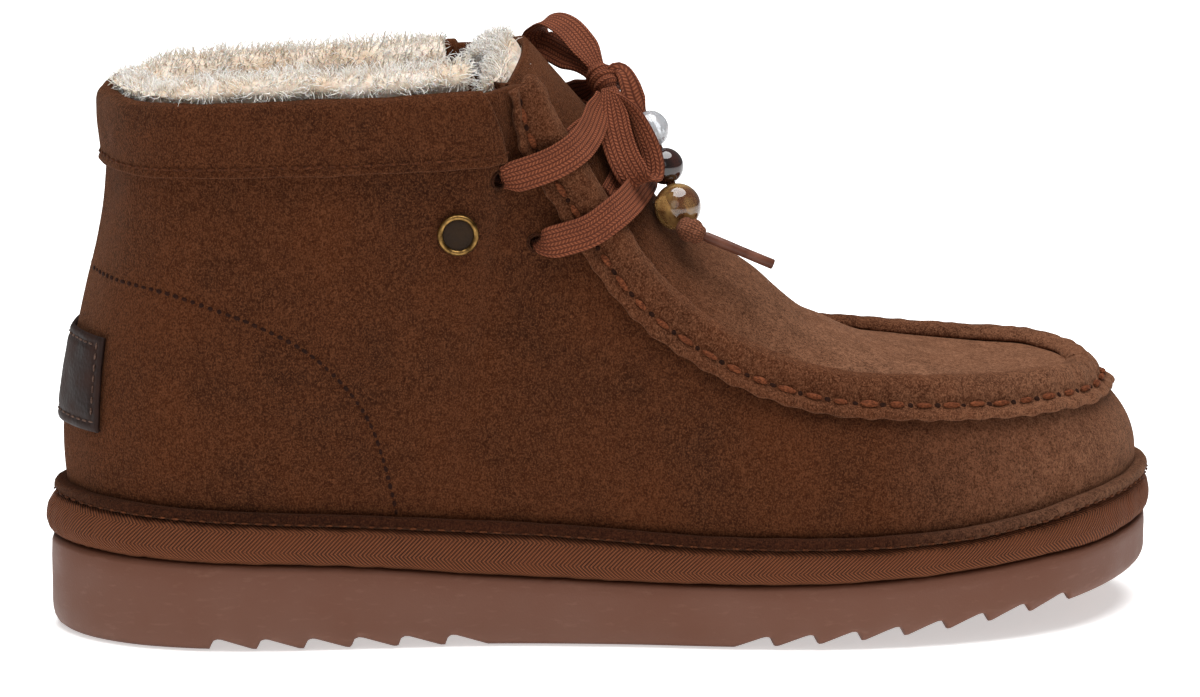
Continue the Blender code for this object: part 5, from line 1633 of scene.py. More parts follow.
@dataclass
class ApronStrip:
    """The raised hand-sewn seam round the apron and up both throat edges."""

    shop: Workshop
    width: float = 9 * MM
    thickness: float = 2.7 * MM
    turn: float = 3 * MM
    top_row: float = 6.0
    turn_row: float = 7.5
    steps: int = 84
    pitch: float = 6.9 * MM

    def frame_at(self, row: float, side: Side) -> tuple:
        """Directions at the seam: its place, down the wall, across the instep, and out."""
        form = self.shop.form
        edge = form.top(row, side)
        before = form.top(max(row - 0.2, 0), side)
        after = form.top(min(row + 0.2, LAST_ROW), side)
        if row + 0.2 > LAST_ROW:
            other = Side.INNER if side is Side.OUTER else Side.OUTER
            after = form.top(2 * LAST_ROW - row - 0.2, other)
        along = unit(after - before)
        down = form.wall(row, side, 0.85) - edge
        down = unit(down - along * down.dot(along))
        if row < self.turn_row:
            level = unit(np.array([-1.0, 0.12 * side.value, 0.06]))
            share = (self.turn_row - row) / (self.turn_row - self.top_row)
            down = unit(down * (1 - share) + level * share)
        inward = form.instep(min(row, LAST_ROW - 0.02), side.value * 0.9) - edge
        if row > LAST_ROW - 0.3:
            inward = np.array([-1.0, 0.0, 0.1])
        inward = unit(inward - along * inward.dot(along))
        up = unit(np.cross(along, inward))
        return edge, down, inward, up if up[2] > 0 else -up

    def section(self, row: float, side: Side) -> list:
        """One ring of the strip: sewn flange, valley for the stitches, and rolled ridge."""
        edge, down, inward, up = self.frame_at(row, side)
        thick = self.thickness

        def on(reach: float, lift: float) -> np.ndarray:
            """A place over the wall, reach in widths down from the edge."""
            return self.shop.form.on_wall(edge + down * reach * self.width, lift)

        out = unit(on(0.12, GAP + MM) - on(0.12, GAP))
        return [
            on(1.0, 0.3 * GAP), on(1.02, GAP + 0.72 * thick), on(0.95, GAP + 0.95 * thick),
            on(0.78, GAP + 0.86 * thick), on(0.6, GAP + 0.42 * thick),
            on(0.44, GAP + 0.8 * thick), on(0.26, GAP + 1.14 * thick),
            edge + out * (GAP + 0.85 * thick) + up * 0.62 * thick,
            edge + up * (GAP + 1.08 * thick) + inward * 0.15 * self.turn,
            edge + up * (GAP + 0.98 * thick) + inward * 0.7 * self.turn,
            edge + up * (GAP + 0.4 * thick) + inward * 1.2 * self.turn,
            edge - up * 0.6 * GAP + inward * 1.3 * self.turn,
            edge + up * 0.6 * GAP + inward * 0.5 * self.turn,
            edge + up * 0.6 * GAP + out * 0.6 * GAP, on(0.5, 0.3 * GAP),
        ]

    def build(self) -> None:
        """Make the strip, its stitches and, between them, dark dots of painted shade for the needle
        holes.
        """
        rows = np.linspace(self.top_row, LAST_ROW, self.steps)
        sections = np.array([self.section(row, side) for row, side in both_sides(rows)])
        valley = sections[:, 4]
        run = run_along(valley)
        mesh = rounded(swept_mesh("apron_seam", sections, run))
        lay = lay_of(mesh)
        places = places_of(mesh)
        wave = np.cos(2 * math.pi * lay[:, 0] / self.pitch)
        ridge = settled_gap(places, valley)
        amount = 0.32 * wave * np.exp(-((ridge - 3.2 * MM) / (2.6 * MM)) ** 2)
        amount += 0.4 * lumps(places, 6 * MM, 8.0) + 0.3 * lumps(places, 2.6 * MM, 3.0)
        mesh = pushed(mesh, amount * 0.75 * MM)
        self.shop.add("apron_seam", mesh, "strip", "suede", "apron_rim")
        tree = surface_tree(mesh)
        spots = paced(valley, self.pitch)
        gaps = (spots[:-1] + spots[1:]) / 2
        tops, ups = settled(tree, spots[1:-1], 0.35 * MM)
        self.shop.sew("hand_stitches", tops, ups, (4.3 * MM, 1.65 * MM, 1.5 * MM), "thread",
                      "suede", 0.16, 11)
        # Painted shade: flat dark dots between the stitches stand in for the shade inside the needle
        # holes.
        tops, ups = settled(tree, gaps, 0.02 * MM)
        self.shop.sew("needle_hole_shade", tops, ups, (1.6 * MM, 1.25 * MM, 0.5 * MM),
                      "dark thread and hole shade", "suede", 0.25, 12)


def settled_gap(places: np.ndarray, line: np.ndarray) -> np.ndarray:
    """How far places are from the nearest place of a line."""
    best = np.full(len(places), 1.0)
    for start in range(0, len(line), 40):
        part = line[start:start + 40]
        best = np.minimum(best, np.linalg.norm(places[:, None] - part[None], axis=2).min(axis=1))
    return best


@dataclass
class Cuff:
    """The rolled suede band round the collar."""

    shop: Workshop
    first_row: float = 5.08
    lean_row: float = 3.0
    lean: float = 0.44
    depth: float = 17 * MM
    thickness: float = 1.7 * MM
    roll: float = 1.6 * MM
    turn: float = 1 * MM
    turn_depth: float = 4 * MM

    def section(self, row: float, side: Side) -> list:
        """One ring of the cuff."""
        form = self.shop.form
        edge = form.top(row, side)
        share = max(0.0, (row - self.lean_row) / (self.first_row - self.lean_row))
        down = np.array([self.lean * share * share, 0.0, -1.0])
        gap = GAP * (1.3 + 2 * share)
        up = np.array([0.0, 0.0, 1.0])

        def on(reach: float, lift: float) -> np.ndarray:
            """A place over the wall, down from the rim."""
            return form.on_wall(edge + down * reach, lift)

        rim = on(0.5 * MM, 0.0)
        out = unit((on(2 * MM, MM) - on(2 * MM, 0)) * np.array([1, 1, 0]))
        inner = WALL + 2 * GAP
        thick, deep = self.thickness, self.depth
        return [
            on(deep, 0.4 * gap), on(deep, gap + 0.85 * thick), on(0.95 * deep, gap + 1.15 * thick),
            on(0.86 * deep, gap + 0.55 * thick), on(0.6 * deep, gap + 1.15 * thick),
            on(0.2 * deep, gap + 1.1 * thick),
            rim + up * 0.6 * self.roll + out * (gap + 0.9 * thick),
            rim + up * (GAP + 1.15 * self.roll) - out * 0.3 * WALL,
            rim + up * 0.6 * self.roll - out * (inner + 0.6 * self.turn),
            rim - up * self.turn_depth - out * (inner + self.turn),
            rim - up * self.turn_depth - out * inner,
            rim + up * (0.5 * MM + GAP) - out * inner, rim + up * (0.5 * MM + GAP) + out * gap,
            on(0.5 * deep, gap),
        ]

    def build(self) -> None:
        """Make the cuff and the seam near its lower edge."""
        rows = list(np.linspace(self.first_row, self.first_row - 0.8, 10))
        rows += list(np.linspace(self.first_row - 0.9, 0, 62))
        sections = np.array([self.section(row, side) for row, side in both_sides(rows)])
        mesh = rounded(swept_mesh("rolled_cuff", sections))
        places = places_of(mesh)
        amount = (0.55 * lumps(places * [1, 1, 0.5], 13 * MM, 6.0)
                  + 0.25 * lumps(places, 5 * MM, 1.0))
        mesh = pushed(mesh, amount * 0.8 * MM)
        self.shop.add("rolled_cuff", mesh, "suede", "suede", "cuff")
        seam, ups = settled(surface_tree(mesh), paced(sections[:, 3], 2.9 * MM), 0.12 * MM)
        self.shop.sew("cuff_seam", seam, ups, (2.1 * MM, 0.75 * MM, 0.6 * MM), "fine thread",
                      "suede", 0.12, 21)


# Wool

@dataclass
class CollarWool:
    """Deep wool inside the collar, standing above the cuff in locks."""

    shop: Workshop
    last_row: float = 4.88
    depth: float = 34 * MM
    thickness: float = 8 * MM
    rise: float = 6.5 * MM
    roll: float = 1.6 * MM
    turn: float = 1 * MM
    rim: float = 128 * MM
    ankle: tuple = (-0.10, -0.05)
    inside_from: float = 108 * MM
    inside_share: float = 0.6
    locks: Growth = Growth(1.4e6, 2.8 * MM, 0.2 * MM, 3.2, 0.3, 4)

    def sections(self) -> np.ndarray:
        """Rings of the wool round the collar."""
        form = self.shop.form
        start = WALL + 3 * GAP + self.turn
        deep = start + self.thickness
        profile = [
            (-self.depth, start), (-0.35 * self.depth, start), (self.roll + GAP, start),
            (self.roll + 2 * GAP, WALL), (0.75 * self.rise, 0.9 * WALL),
            (self.rise, start + 2 * MM), (0.55 * self.rise, deep), (-0.2 * self.depth, deep + MM),
            (-0.6 * self.depth, deep), (-self.depth, deep - 2 * MM),
        ]
        rows = np.linspace(self.last_row, 0.0, 56)
        rings = []
        for row, side in both_sides(rows):
            ring = []
            grown = float(ease(0.6, 3.2, row))
            full = 0.45 + 0.55 * grown if side is Side.OUTER else 0.3 + 0.1 * grown
            for height, depth in profile:
                height = height * full if height > self.roll + 2.5 * GAP else height
                v = 1 + min(height, 0.0) / UPPER_HEIGHT
                spot = form.wall(row, side, v)
                beyond = form.wall(row, side, v - 0.02)
                level = form.wall(row + 0.1, side, v) - form.wall(max(row - 0.1, 0), side, v)
                out = np.cross(form.top(row, side) - beyond, level) * side.value
                out = unit(out * np.array([1, 1, 0]))
                if row < 0.05:
                    out = np.array([-1.0, 0.0, 0.0])
                ring.append(spot + np.array([0, 0, max(height, 0.0)]) - out * depth)
            rings.append(ring)
        return np.array(rings)

    def build(self) -> bpy.types.Object:
        """Make the collar's wool."""
        mesh = rounded(swept_mesh("collar_wool", self.sections()))
        places = places_of(mesh)
        high = ease(118 * MM, self.rim, places[:, 2])
        curls = (1.3 * lumps(places, 9 * MM, 2.0) + 0.9 * np.abs(lumps(places, 4 * MM, 5.0))
                 + 0.5 * lumps(places, 1.8 * MM, 7.0))
        mesh = pushed(mesh, curls * MM * (0.3 + 0.7 * high))
        mesh = self.shop.grow(mesh, self.growth, self.locks)
        return self.shop.add("collar_wool", mesh, "wool", "wool", "fur_collar")

    def growth(self, places: np.ndarray, normals: np.ndarray) -> np.ndarray:
        """How thickly locks grow: above the rim and down the inside, not against the cuff."""
        rows = np.linspace(self.last_row, 0, 60)
        rim = self.shop.form.top(rows, Side.OUTER)
        order = np.argsort(rim[:, 0])
        above = places[:, 2] - np.interp(places[:, 0], rim[order, 0], rim[order, 2])
        middle = np.stack([np.clip(places[:, 0], *self.ankle), np.zeros(len(places))], axis=1)
        way = unit(places[:, :2] - middle)
        facing = np.sum(way * normals[:, :2], axis=1)
        inside = ease(0.1, -0.5, facing) * (places[:, 2] > self.inside_from)
        inside = inside * self.inside_share
        return np.maximum(ease(0.4 * MM, 2.0 * MM, above), inside)


@dataclass
class TongueWool:
    """Deep wool on the tongue's back, standing above its top edge."""

    shop: Workshop
    top_row: float = 5.55
    front: float = WALL + 3 * MM + 2 * GAP
    thickness: float = 5.6 * MM
    rise: float = 6.5 * MM
    across: int = 27
    grown_from: float = 106 * MM
    top_from: float = 134 * MM
    side_from: float = 134.5 * MM
    side_reach: float = 15 * MM
    locks: Growth = Growth(2.6e6, 2.6 * MM, 0.17 * MM, 2.4, 0.3, 9)

    def build(self) -> bpy.types.Object:
        """Make the tongue's wool."""
        form = self.shop.form
        rows = np.concatenate([np.linspace(0, 0.3, 8), np.linspace(0.4, 2.3, 16)]) + self.top_row
        spots = np.linspace(-0.82, 0.82, self.across)
        sections = []
        for row in rows:
            lift = 0.5 * self.rise * max(0.0, 1 - (row - rows[0]) / 0.2)
            line = np.full(self.across, row)
            point = form.instep(line, spots)
            normal = form.instep_normal(line, spots)
            rise = unit(point - form.instep(line + 0.2, spots)) * lift
            outer = point - normal * self.front + rise
            inner = point - normal * (self.front + self.thickness) + rise
            sections.append(np.concatenate([outer, inner[::-1]]))
        mesh = rounded(swept_mesh("tongue_wool", np.array(sections)), 1)
        places = places_of(mesh)
        curls = 0.9 * lumps(places, 7 * MM, 4.0) + 0.6 * np.abs(lumps(places, 3 * MM, 1.0))
        mesh = pushed(mesh, curls * MM)
        mesh = self.shop.grow(mesh, self.growth, self.locks)
        return self.shop.add("tongue_wool", mesh, "wool", "wool", "fur_tongue")

    def growth(self, places: np.ndarray, normals: np.ndarray) -> np.ndarray:
        """How thickly locks grow: on the back, the top and the upper side edges."""
        back = ease(0.15, -0.5, normals[:, 0])
        top = ease(0.75, 0.95, normals[:, 2]) * (places[:, 2] > self.top_from)
        sides = (np.abs(places[:, 1]) > self.side_reach) * (places[:, 2] > self.side_from)
        sides = sides * ease(0.6, 0.3, normals[:, 0])
        return (places[:, 2] > self.grown_from) * np.maximum(np.maximum(back, top), sides)


# Patch and button

@dataclass
class HeelPatch:
    """A plain leather patch that wraps the back of the heel, sewn round its border."""

    shop: Workshop
    width: float = 47 * MM
    height: float = 23 * MM
    thickness: float = 1.2 * MM
    middle: float = 63 * MM
    radius: float = 34 * MM
    border: float = 2.4 * MM
    columns: int = 74
    rows: int = 42

    def spot(self, across: float, up: float) -> np.ndarray:
        """A place of the wall under the patch, from shares of its half width and height."""
        angle = across * self.width / (2 * self.radius)
        start = (station_x(0.13), 0, self.middle + up * self.height / 2)
        return self.shop.form.through_wall(start, (-math.cos(angle), math.sin(angle), 0))

    def build(self) -> None:
        """Make the patch and its border seam."""
        form = self.shop.form
        across = np.linspace(-1, 1, self.columns)
        ups = np.linspace(-1, 1, self.rows)
        grid = np.zeros((self.columns, self.rows, 3))
        for i, a in enumerate(across):
            for j, b in enumerate(ups):
                edge = min((1 - abs(a)) * self.width, (1 - abs(b)) * self.height) / 2
                full = float(ease(-0.2 * MM, 1.1 * MM, edge))
                groove = 0.28 * MM * math.exp(-((edge - self.border) / (0.8 * MM)) ** 2)
                swell = 0.12 * MM * noise.noise(Vector((a * 3, b * 2, 0)))
                lift = 2 * GAP + self.thickness * (0.62 + 0.38 * full) - groove + swell
                grid[i, j] = form.on_wall(self.spot(a, b), lift)
        mesh = make_mesh("heel_patch_leather", grid, grid_faces(self.columns, self.rows),
                         middle=heart)
        tree = surface_tree(mesh)
        self.shop.add("heel_patch_leather", walled(mesh, self.thickness), "leather", "leather",
                      "heel_patch")
        a = 1 - 2 * self.border / self.width
        b = 1 - 2 * self.border / self.height
        corners = ((-a, -b), (a, -b), (a, b), (-a, b), (-a, -b))
        for number, (first, last) in enumerate(zip(corners, corners[1:])):
            line = [self.spot(*(np.array(first) * (1 - t) + np.array(last) * t))
                    for t in np.linspace(0, 1, 30)]
            spots, outs = settled(tree, paced(line, 2.6 * MM)[:-1], 0.12 * MM)
            self.shop.sew(f"patch_seam_{number}", spots, outs,
                          (1.9 * MM, 0.55 * MM, 0.5 * MM), "patch thread", "leather", 0.1, number)


def ways_across(axis: np.ndarray) -> tuple:
    """Two ways square to an axis of length one and to each other."""
    side = unit(np.cross(axis, [0.3, 0.2, 1.0]))
    return side, np.cross(axis, side)


def turned_mesh(name: str, profile: Sequence, segments: int, seat: np.ndarray,
                out: np.ndarray, looped: bool = False) -> bpy.types.Mesh:
    """A solid turned about an axis from a profile of (radius, height) pairs.

    Args:
        name: The mesh's name.
        profile: The pairs; the first and last lie on the axis unless the profile is looped.
        segments: Steps round the axis.
        seat: Where height zero is.
        out: The axis.
        looped: True where the profile closes on itself away from the axis.

    Returns:
        The mesh.
    """
    rows = list(profile) + ([profile[0]] if looped else [])
    out = unit(np.asarray(out, float))
    side, other = ways_across(out)
    angles = np.linspace(0, 2 * math.pi, segments + 1)
    grid = np.array([[seat + out * h + r * (side * math.cos(a) + other * math.sin(a))
                      for a in angles] for r, h in rows])
    run = run_along(np.array(rows))
    widest = max(r for r, _ in rows)
    uv = np.stack(np.broadcast_arrays(run[:, None], (angles * widest)[None]), axis=-1)
    return make_mesh(name, grid, grid_faces(len(rows), segments + 1), uv)


@dataclass
class SideButton:
    """A metal-rimmed button with a plain dark dish, on the outer side."""

    shop: Workshop
    diameter: float = 10.2 * MM
    height: float = 1.7 * MM
    along: float = 0.358
    level: float = 102 * MM

    def build(self) -> None:
        """Make the rim and the dish."""
        form = self.shop.form
        spot = form.through_wall((station_x(self.along), 0, self.level), (0, -1, 0))
        seat = form.on_wall(spot, 1.2 * GAP)
        out = unit(form.on_wall(spot, 2 * MM) - form.on_wall(spot, 0))
        r = self.diameter / 2
        h = self.height
        rim = [(0.72 * r, 0), (0.72 * r, 0.72 * h), (0.76 * r, 0.92 * h), (0.82 * r, 1.02 * h),
               (0.89 * r, 1.02 * h), (0.95 * r, 0.88 * h), (0.99 * r, 0.6 * h), (r, 0.3 * h),
               (0.97 * r, 0)]
        self.shop.add("button_rim", turned_mesh("button_rim", rim, 64, seat, out, True),
                      "brass", "brass", "side_button")
        dish = [(0, 0.05 * h), (0.74 * r, 0.05 * h), (0.74 * r, 0.6 * h), (0.7 * r, 0.68 * h),
                (0.5 * r, 0.58 * h), (0.25 * r, 0.62 * h), (0.1 * r, 0.66 * h), (0, 0.66 * h)]
        self.shop.add("button_dish", turned_mesh("button_dish", dish, 64, seat, out), "dish",
                      "leather")


# Laces and beads, with places in millimetres

def mirrored(route: tuple) -> tuple:
    """The same route on the other side of the shoe."""
    return tuple((x, -y, z, a, -b, c) for x, y, z, a, b, c in route)


LOWER_BAR = (
    (-18.6, -26.8, 97.8, 0.0, -0.9, 0.4), (-18.0, -30.8, 98.3, 0.0, -0.95, 0.3),
    (-16.0, -33.3, 99.0, 0.0, -0.99, 0.1), (-12.6, -34.2, 99.9, -0.1, -0.98, 0.15),
    (-6.5, -34.8, 102.0, 0.15, -0.95, 0.2), (-0.6, -33.0, 105.6, 0.54, -0.72, 0.44),
    (3.6, -26.5, 107.4, 0.58, -0.66, 0.46), (6.9, -17.0, 108.4, 0.68, -0.54, 0.5),
    (9.8, -8.0, 109.6, 0.78, -0.3, 0.52), (10.7, 0.0, 110.1, 0.84, 0.0, 0.54),
)
UPPER_BAR = (
    (-28.4, -26.6, 113.7, 0.4, -0.8, 0.3), (-27.4, -30.4, 114.3, 0.4, -0.85, 0.2),
    (-25.6, -32.4, 115.0, 0.3, -0.93, 0.0), (-21.8, -33.4, 116.1, 0.25, -0.95, 0.1),
    (-15.2, -33.2, 118.4, 0.35, -0.91, 0.22), (-9.4, -30.6, 121.3, 0.59, -0.69, 0.43),
    (-5.6, -23.0, 123.6, 0.62, -0.62, 0.48), (-2.9, -14.5, 126.4, 0.7, -0.45, 0.55),
    (-0.9, -7.8, 129.1, 0.76, -0.2, 0.6),
)
CROSS_UNDER = (
    (-0.6, -22.0, 107.8, 0.6, -0.65, 0.47), (2.7, -15.0, 112.0, 0.68, -0.5, 0.53),
    (3.3, -7.5, 117.1, 0.75, -0.3, 0.58), (2.2, 0.0, 120.9, 0.79, 0.0, 0.62),
    (-1.8, 8.0, 122.9, 0.75, 0.3, 0.6), (-6.2, 15.6, 122.8, 0.68, 0.52, 0.53),
    (-9.6, 20.6, 121.4, 0.62, 0.62, 0.48),
)
CROSS_OVER = (
    (-0.6, 22.0, 107.8, 0.6, 0.65, 0.47), (2.8, 15.0, 112.1, 0.68, 0.5, 0.53),
    (4.0, 7.5, 117.7, 0.75, 0.3, 0.58), (2.8, 0.0, 121.4, 0.79, 0.0, 0.62),
    (-0.4, -8.0, 124.0, 0.75, -0.3, 0.6), (-6.1, -15.6, 122.9, 0.68, -0.52, 0.53),
    (-9.6, -20.6, 121.4, 0.62, -0.62, 0.48),
)
LOOP_NEAR = (
    (0.9, -7.4, 131.4, -0.3, -0.9, 0.1), (0.9, -10.4, 128.4, -0.2, -0.95, 0.2),
    (1.5, -14.6, 122.6, -0.05, -0.97, 0.25), (3.0, -18.0, 117.0, 0.05, -0.98, 0.15),
    (5.4, -20.2, 112.6, 0.1, -0.95, -0.2), (7.6, -20.4, 110.7, 0.15, -0.5, -0.85),
    (9.2, -18.4, 111.8, 0.35, 0.5, -0.75), (9.4, -16.6, 115.2, 0.5, 0.8, -0.2),
    (8.2, -14.6, 120.0, 0.5, 0.75, 0.3), (6.4, -12.0, 124.6, 0.5, 0.6, 0.5),
    (4.1, -9.2, 128.6, 0.5, 0.3, 0.65), (1.9, -7.2, 130.8, 0.5, -0.3, 0.8),
)
LOOP_FAR = (
    (-0.6, 1.2, 133.6, 0.3, -0.85, 0.4), (-2.2, 3.6, 136.6, 0.35, -0.85, 0.4),
    (-4.6, 7.2, 140.2, 0.35, -0.85, 0.4), (-7.6, 11.4, 143.2, 0.2, -0.7, 0.7),
    (-11.0, 16.0, 144.2, -0.2, -0.1, 0.95), (-13.6, 19.6, 142.2, -0.7, 0.6, 0.4),
    (-13.8, 20.2, 138.8, -0.3, 0.9, -0.2), (-11.2, 17.0, 137.8, -0.2, 0.9, -0.4),
    (-7.8, 12.0, 136.4, -0.2, 0.9, -0.4), (-4.4, 7.2, 134.8, -0.3, 0.8, -0.5),
    (-1.8, 3.6, 132.6, -0.4, 0.7, -0.5),
)
END_NEAR = (
    (1.4, -1.6, 133.6, 0.3, -0.8, 0.5), (3.4, -2.2, 135.0, 0.4, -0.75, 0.5),
    (5.0, -3.0, 134.2, 0.45, -0.8, 0.4), (6.2, -4.2, 131.4, 0.4, -0.85, 0.35),
    (7.3, -5.2, 128.0, 0.3, -0.9, 0.3), (8.9, -5.8, 125.0, 0.3, -0.9, 0.3),
    (11.0, -6.0, 120.8, 0.3, -0.9, 0.3), (14.4, -9.6, 112.4, 0.3, -0.9, 0.3),
    (17.0, -13.8, 103.2, 0.3, -0.9, 0.3), (19.4, -21.2, 98.7, 0.3, -0.9, 0.3),
)
END_FAR = (
    (2.6, 4.6, 130.4, 0.75, 0.3, 0.6), (3.6, 9.0, 125.6, 0.75, 0.4, 0.55),
    (3.6, 15.0, 120.4, 0.7, 0.5, 0.5), (2.2, 22.0, 116.0, 0.62, 0.62, 0.48),
    (-0.6, 30.2, 113.2, 0.56, 0.7, 0.44), (-4.0, 35.6, 110.2, 0.2, 0.95, 0.25),
    (-4.6, 38.0, 105.6, 0.0, 1.0, 0.0), (-4.4, 39.6, 101.1, 0.0, 1.0, 0.0),
    (-4.2, 41.0, 96.1, 0.0, 1.0, 0.0), (-3.0, 42.2, 86.6, 0.0, 1.0, 0.0),
    (-1.6, 43.6, 76.1, 0.0, 1.0, 0.0), (-0.4, 44.4, 66.4, 0.0, 1.0, 0.0),
)


class Bead(NamedTuple):
    """A bead on a lace end: its glass, node, diameter and middle."""

    glass: str
    node: str
    diameter: float
    middle: tuple


class Tip(NamedTuple):
    """A lace end's knot with its tip: the node, the knot's middle and the tip's end."""

    name: str
    node: str
    knot: tuple
    end: tuple


BEADS = {
    "near": (Bead("clear", "bead_near_clear", 9.4, (11.0, -6.0, 120.8)),
             Bead("dark", "bead_near_dark", 9.0, (14.4, -9.6, 112.4)),
             Bead("amber", "bead_near_amber", 11.4, (17.0, -13.8, 103.2))),
    "far": (Bead("clear", "bead_far_clear", 9.4, (-4.2, 41.0, 96.1)),
            Bead("dark", "bead_far_dark", 9.0, (-3.0, 42.2, 86.6)),
            Bead("amber", "bead_far_amber", 11.4, (-1.6, 43.6, 76.1))),
}
TIPS = (
    Tip("near", "lace_tip_near", (19.4, -21.2, 98.7), (39.2, -23.8, 90.4)),
    Tip("far", "lace_tip_far", (-0.4, 44.4, 66.4), (2.6, 46.0, 45.0)),
)


class Ribbon(NamedTuple):
    """One stretch of flat lace, with its width in millimetres.

    start and end are the shares of the width left at its ends, and thread_from is the
    share of its run from which it is drawn thin as a cord.
    """

    route: tuple
    width: float
    start: float
    end: float
    thread_from: float = 1.0


@dataclass
class Laces:
    """Flat braided lace through the holes, crossed and tied in a bow with beaded ends."""

    shop: Workshop
    thickness: float = 1.3 * MM
    step: float = 0.7 * MM
    taper: float = 9 * MM
    cord_width: float = 2.1 * MM
    knot_middle: tuple = (0.2, -1.2, 131.9)
    knot_axis: tuple = (0.35, -0.62, -0.55)
    knot_reach: float = 3.9 * MM
    knot_pleat: float = 0.36 * MM
    knot_length: float = 7.4 * MM
    knot_width: float = 5.8 * MM
    tip_width: float = 2.5 * MM

    def ribbon(self, name: str, plan: Ribbon) -> tuple:
        """A flat lace's mesh and the path that it follows.

        Args:
            name: The mesh's name.
            plan: The stretch.

        Returns:
            The mesh, and its middle line as rows.
        """
        route = [(x * MM, y * MM, z * MM, a, b, c) for x, y, z, a, b, c in plan.route]
        rows = smooth_path(route, self.step)
        middles = rows[:, :3]
        ahead = unit(np.gradient(middles, axis=0))
        face = rows[:, 3:] - ahead * np.sum(ahead * rows[:, 3:], axis=1)[:, None]
        face = unit(face)
        across = np.cross(ahead, face)
        run = run_along(middles)
        drawn = np.minimum(1, np.minimum(plan.start + (1 - plan.start) * ease(0, self.taper, run),
                                         plan.end + (1 - plan.end)
                                         * ease(0, self.taper, run[-1] - run)))
        width = plan.width * MM * drawn
        thick = self.thickness * (1 + 0.55 * (1 - drawn))
        if plan.thread_from < 1:
            slim = ease(plan.thread_from - 0.1, plan.thread_from, run / run[-1])
            width = width * (1 - slim) + self.cord_width * slim
            thick = thick * (1 - slim) + self.cord_width * slim
        angles = np.linspace(0, 2 * math.pi, 28, endpoint=False)
        flat = np.sign(np.cos(angles)) * np.abs(np.cos(angles)) ** 0.75
        high = np.sign(np.sin(angles)) * np.abs(np.sin(angles)) ** 0.8
        pleat = 0.5 * (1 - drawn)[:, None] * np.cos(flat * 3 * math.pi)[None]
        cup = 0.10 * flat[None] ** 2 * width[:, None]
        lift = high[None] * thick[:, None] / 2 + cup + pleat * 0.35 * self.thickness
        sections = (middles[:, None] + across[:, None] * (flat[None] * width[:, None]
                                                          / 2)[..., None]
                    + face[:, None] * lift[..., None])
        sections = sections - face[:, None] * (0.04 * width)[:, None, None]
        mesh = swept_mesh(name, sections, run)
        return mesh, middles

    def build(self) -> None:
        self.bars()
        knot = self.knot()
        for name, node, route in (("bow_loop_outer", "bow_loop_near", LOOP_NEAR),
                                  ("bow_loop_inner", "bow_loop_far", LOOP_FAR)):
            mesh, path = self.ribbon(name, Ribbon(route, 8.0, 0.5, 0.5))
            piece = self.shop.add(name, mesh, "lace", "lace", node)
            length = length_of(path)
            LOG.info("%s is %.1f mm long", name, length / MM)
        for name, node, route, beads, tip, share in (
                ("lace_end_outer", "lace_end_near", END_NEAR, BEADS["near"], TIPS[0], 0.33),
                ("lace_end_inner", "lace_end_far", END_FAR, BEADS["far"], TIPS[1], 0.58)):
            mesh, path = self.ribbon(name, Ribbon(route, 6.0, 0.6, 1.0, share))
            piece = self.shop.add(name, mesh, "lace", "lace", node)
            threaded = [self.bead(bead, path) for bead in beads] + self.tip(tip)
            if tip.name == "near":
                threaded.append(knot)
            length = length_of(path)
            LOG.info("%s is %.1f mm long", name, length / MM)

    def bars(self) -> None:
        """The two bars over the throat and the crossing behind them."""
        plans = {
            "lower_bar": (Ribbon(LOWER_BAR + mirrored(LOWER_BAR[:-1])[::-1], 8.0, 0.36, 0.36),
                          "lace_bar_lower"),
            "upper_bar_outer": (Ribbon(UPPER_BAR, 8.0, 0.36, 0.6), "lace_bar_near"),
            "upper_bar_inner": (Ribbon(mirrored(UPPER_BAR), 8.0, 0.36, 0.6), "lace_bar_far"),
            "crossing_under": (Ribbon(CROSS_UNDER, 6.0, 1.0, 1.0), None),
            "crossing_over": (Ribbon(CROSS_OVER, 6.0, 1.0, 1.0), "lace_crossing"),
        }
        for name, (plan, node) in plans.items():
            mesh, _ = self.ribbon(name, plan)
            self.shop.add(name, mesh, "lace", "lace", *([node] if node else []))

    def knot(self) -> bpy.types.Object:
        """The bow's knot: a pleated band of lace drawn tight round the loops' roots."""
        middle = np.array(self.knot_middle) * MM
        axis = unit(np.array(self.knot_axis))
        side = unit(np.cross(axis, [1.0, 0.0, 0.4]))
        other = np.cross(axis, side)
        angles = np.linspace(0, 2 * math.pi, 97)
        shares = np.linspace(-1, 1, 26)
        grid = []
        for s in shares:
            swell = math.sqrt(max(0.0, 1 - s * s))
            ring = []
            for a in angles:
                pleats = self.knot_pleat * math.cos(s * 3.6 * math.pi + 0.9 * math.sin(a)) * swell
                radius = (2.0 + 1.9 * swell ** 0.6) * MM * (1 + 0.12 * math.cos(2 * a)) + pleats
                if abs(s) > 0.99:
                    radius = 0.0
                way = side * math.cos(a) + other * math.sin(a)
                ring.append(middle + axis * s * self.knot_reach + radius * way)
            grid.append(ring)
        grid = np.array(grid)
        uv = np.stack(np.broadcast_arrays((angles * 4.6 * MM)[None], (shares * 4.6 * MM)[:, None]),
                      axis=-1)
        mesh = make_mesh("bow_knot_band", grid, grid_faces(26, 97), uv)
        return self.shop.add("bow_knot_band", mesh, "lace", "lace", "bow_knot")

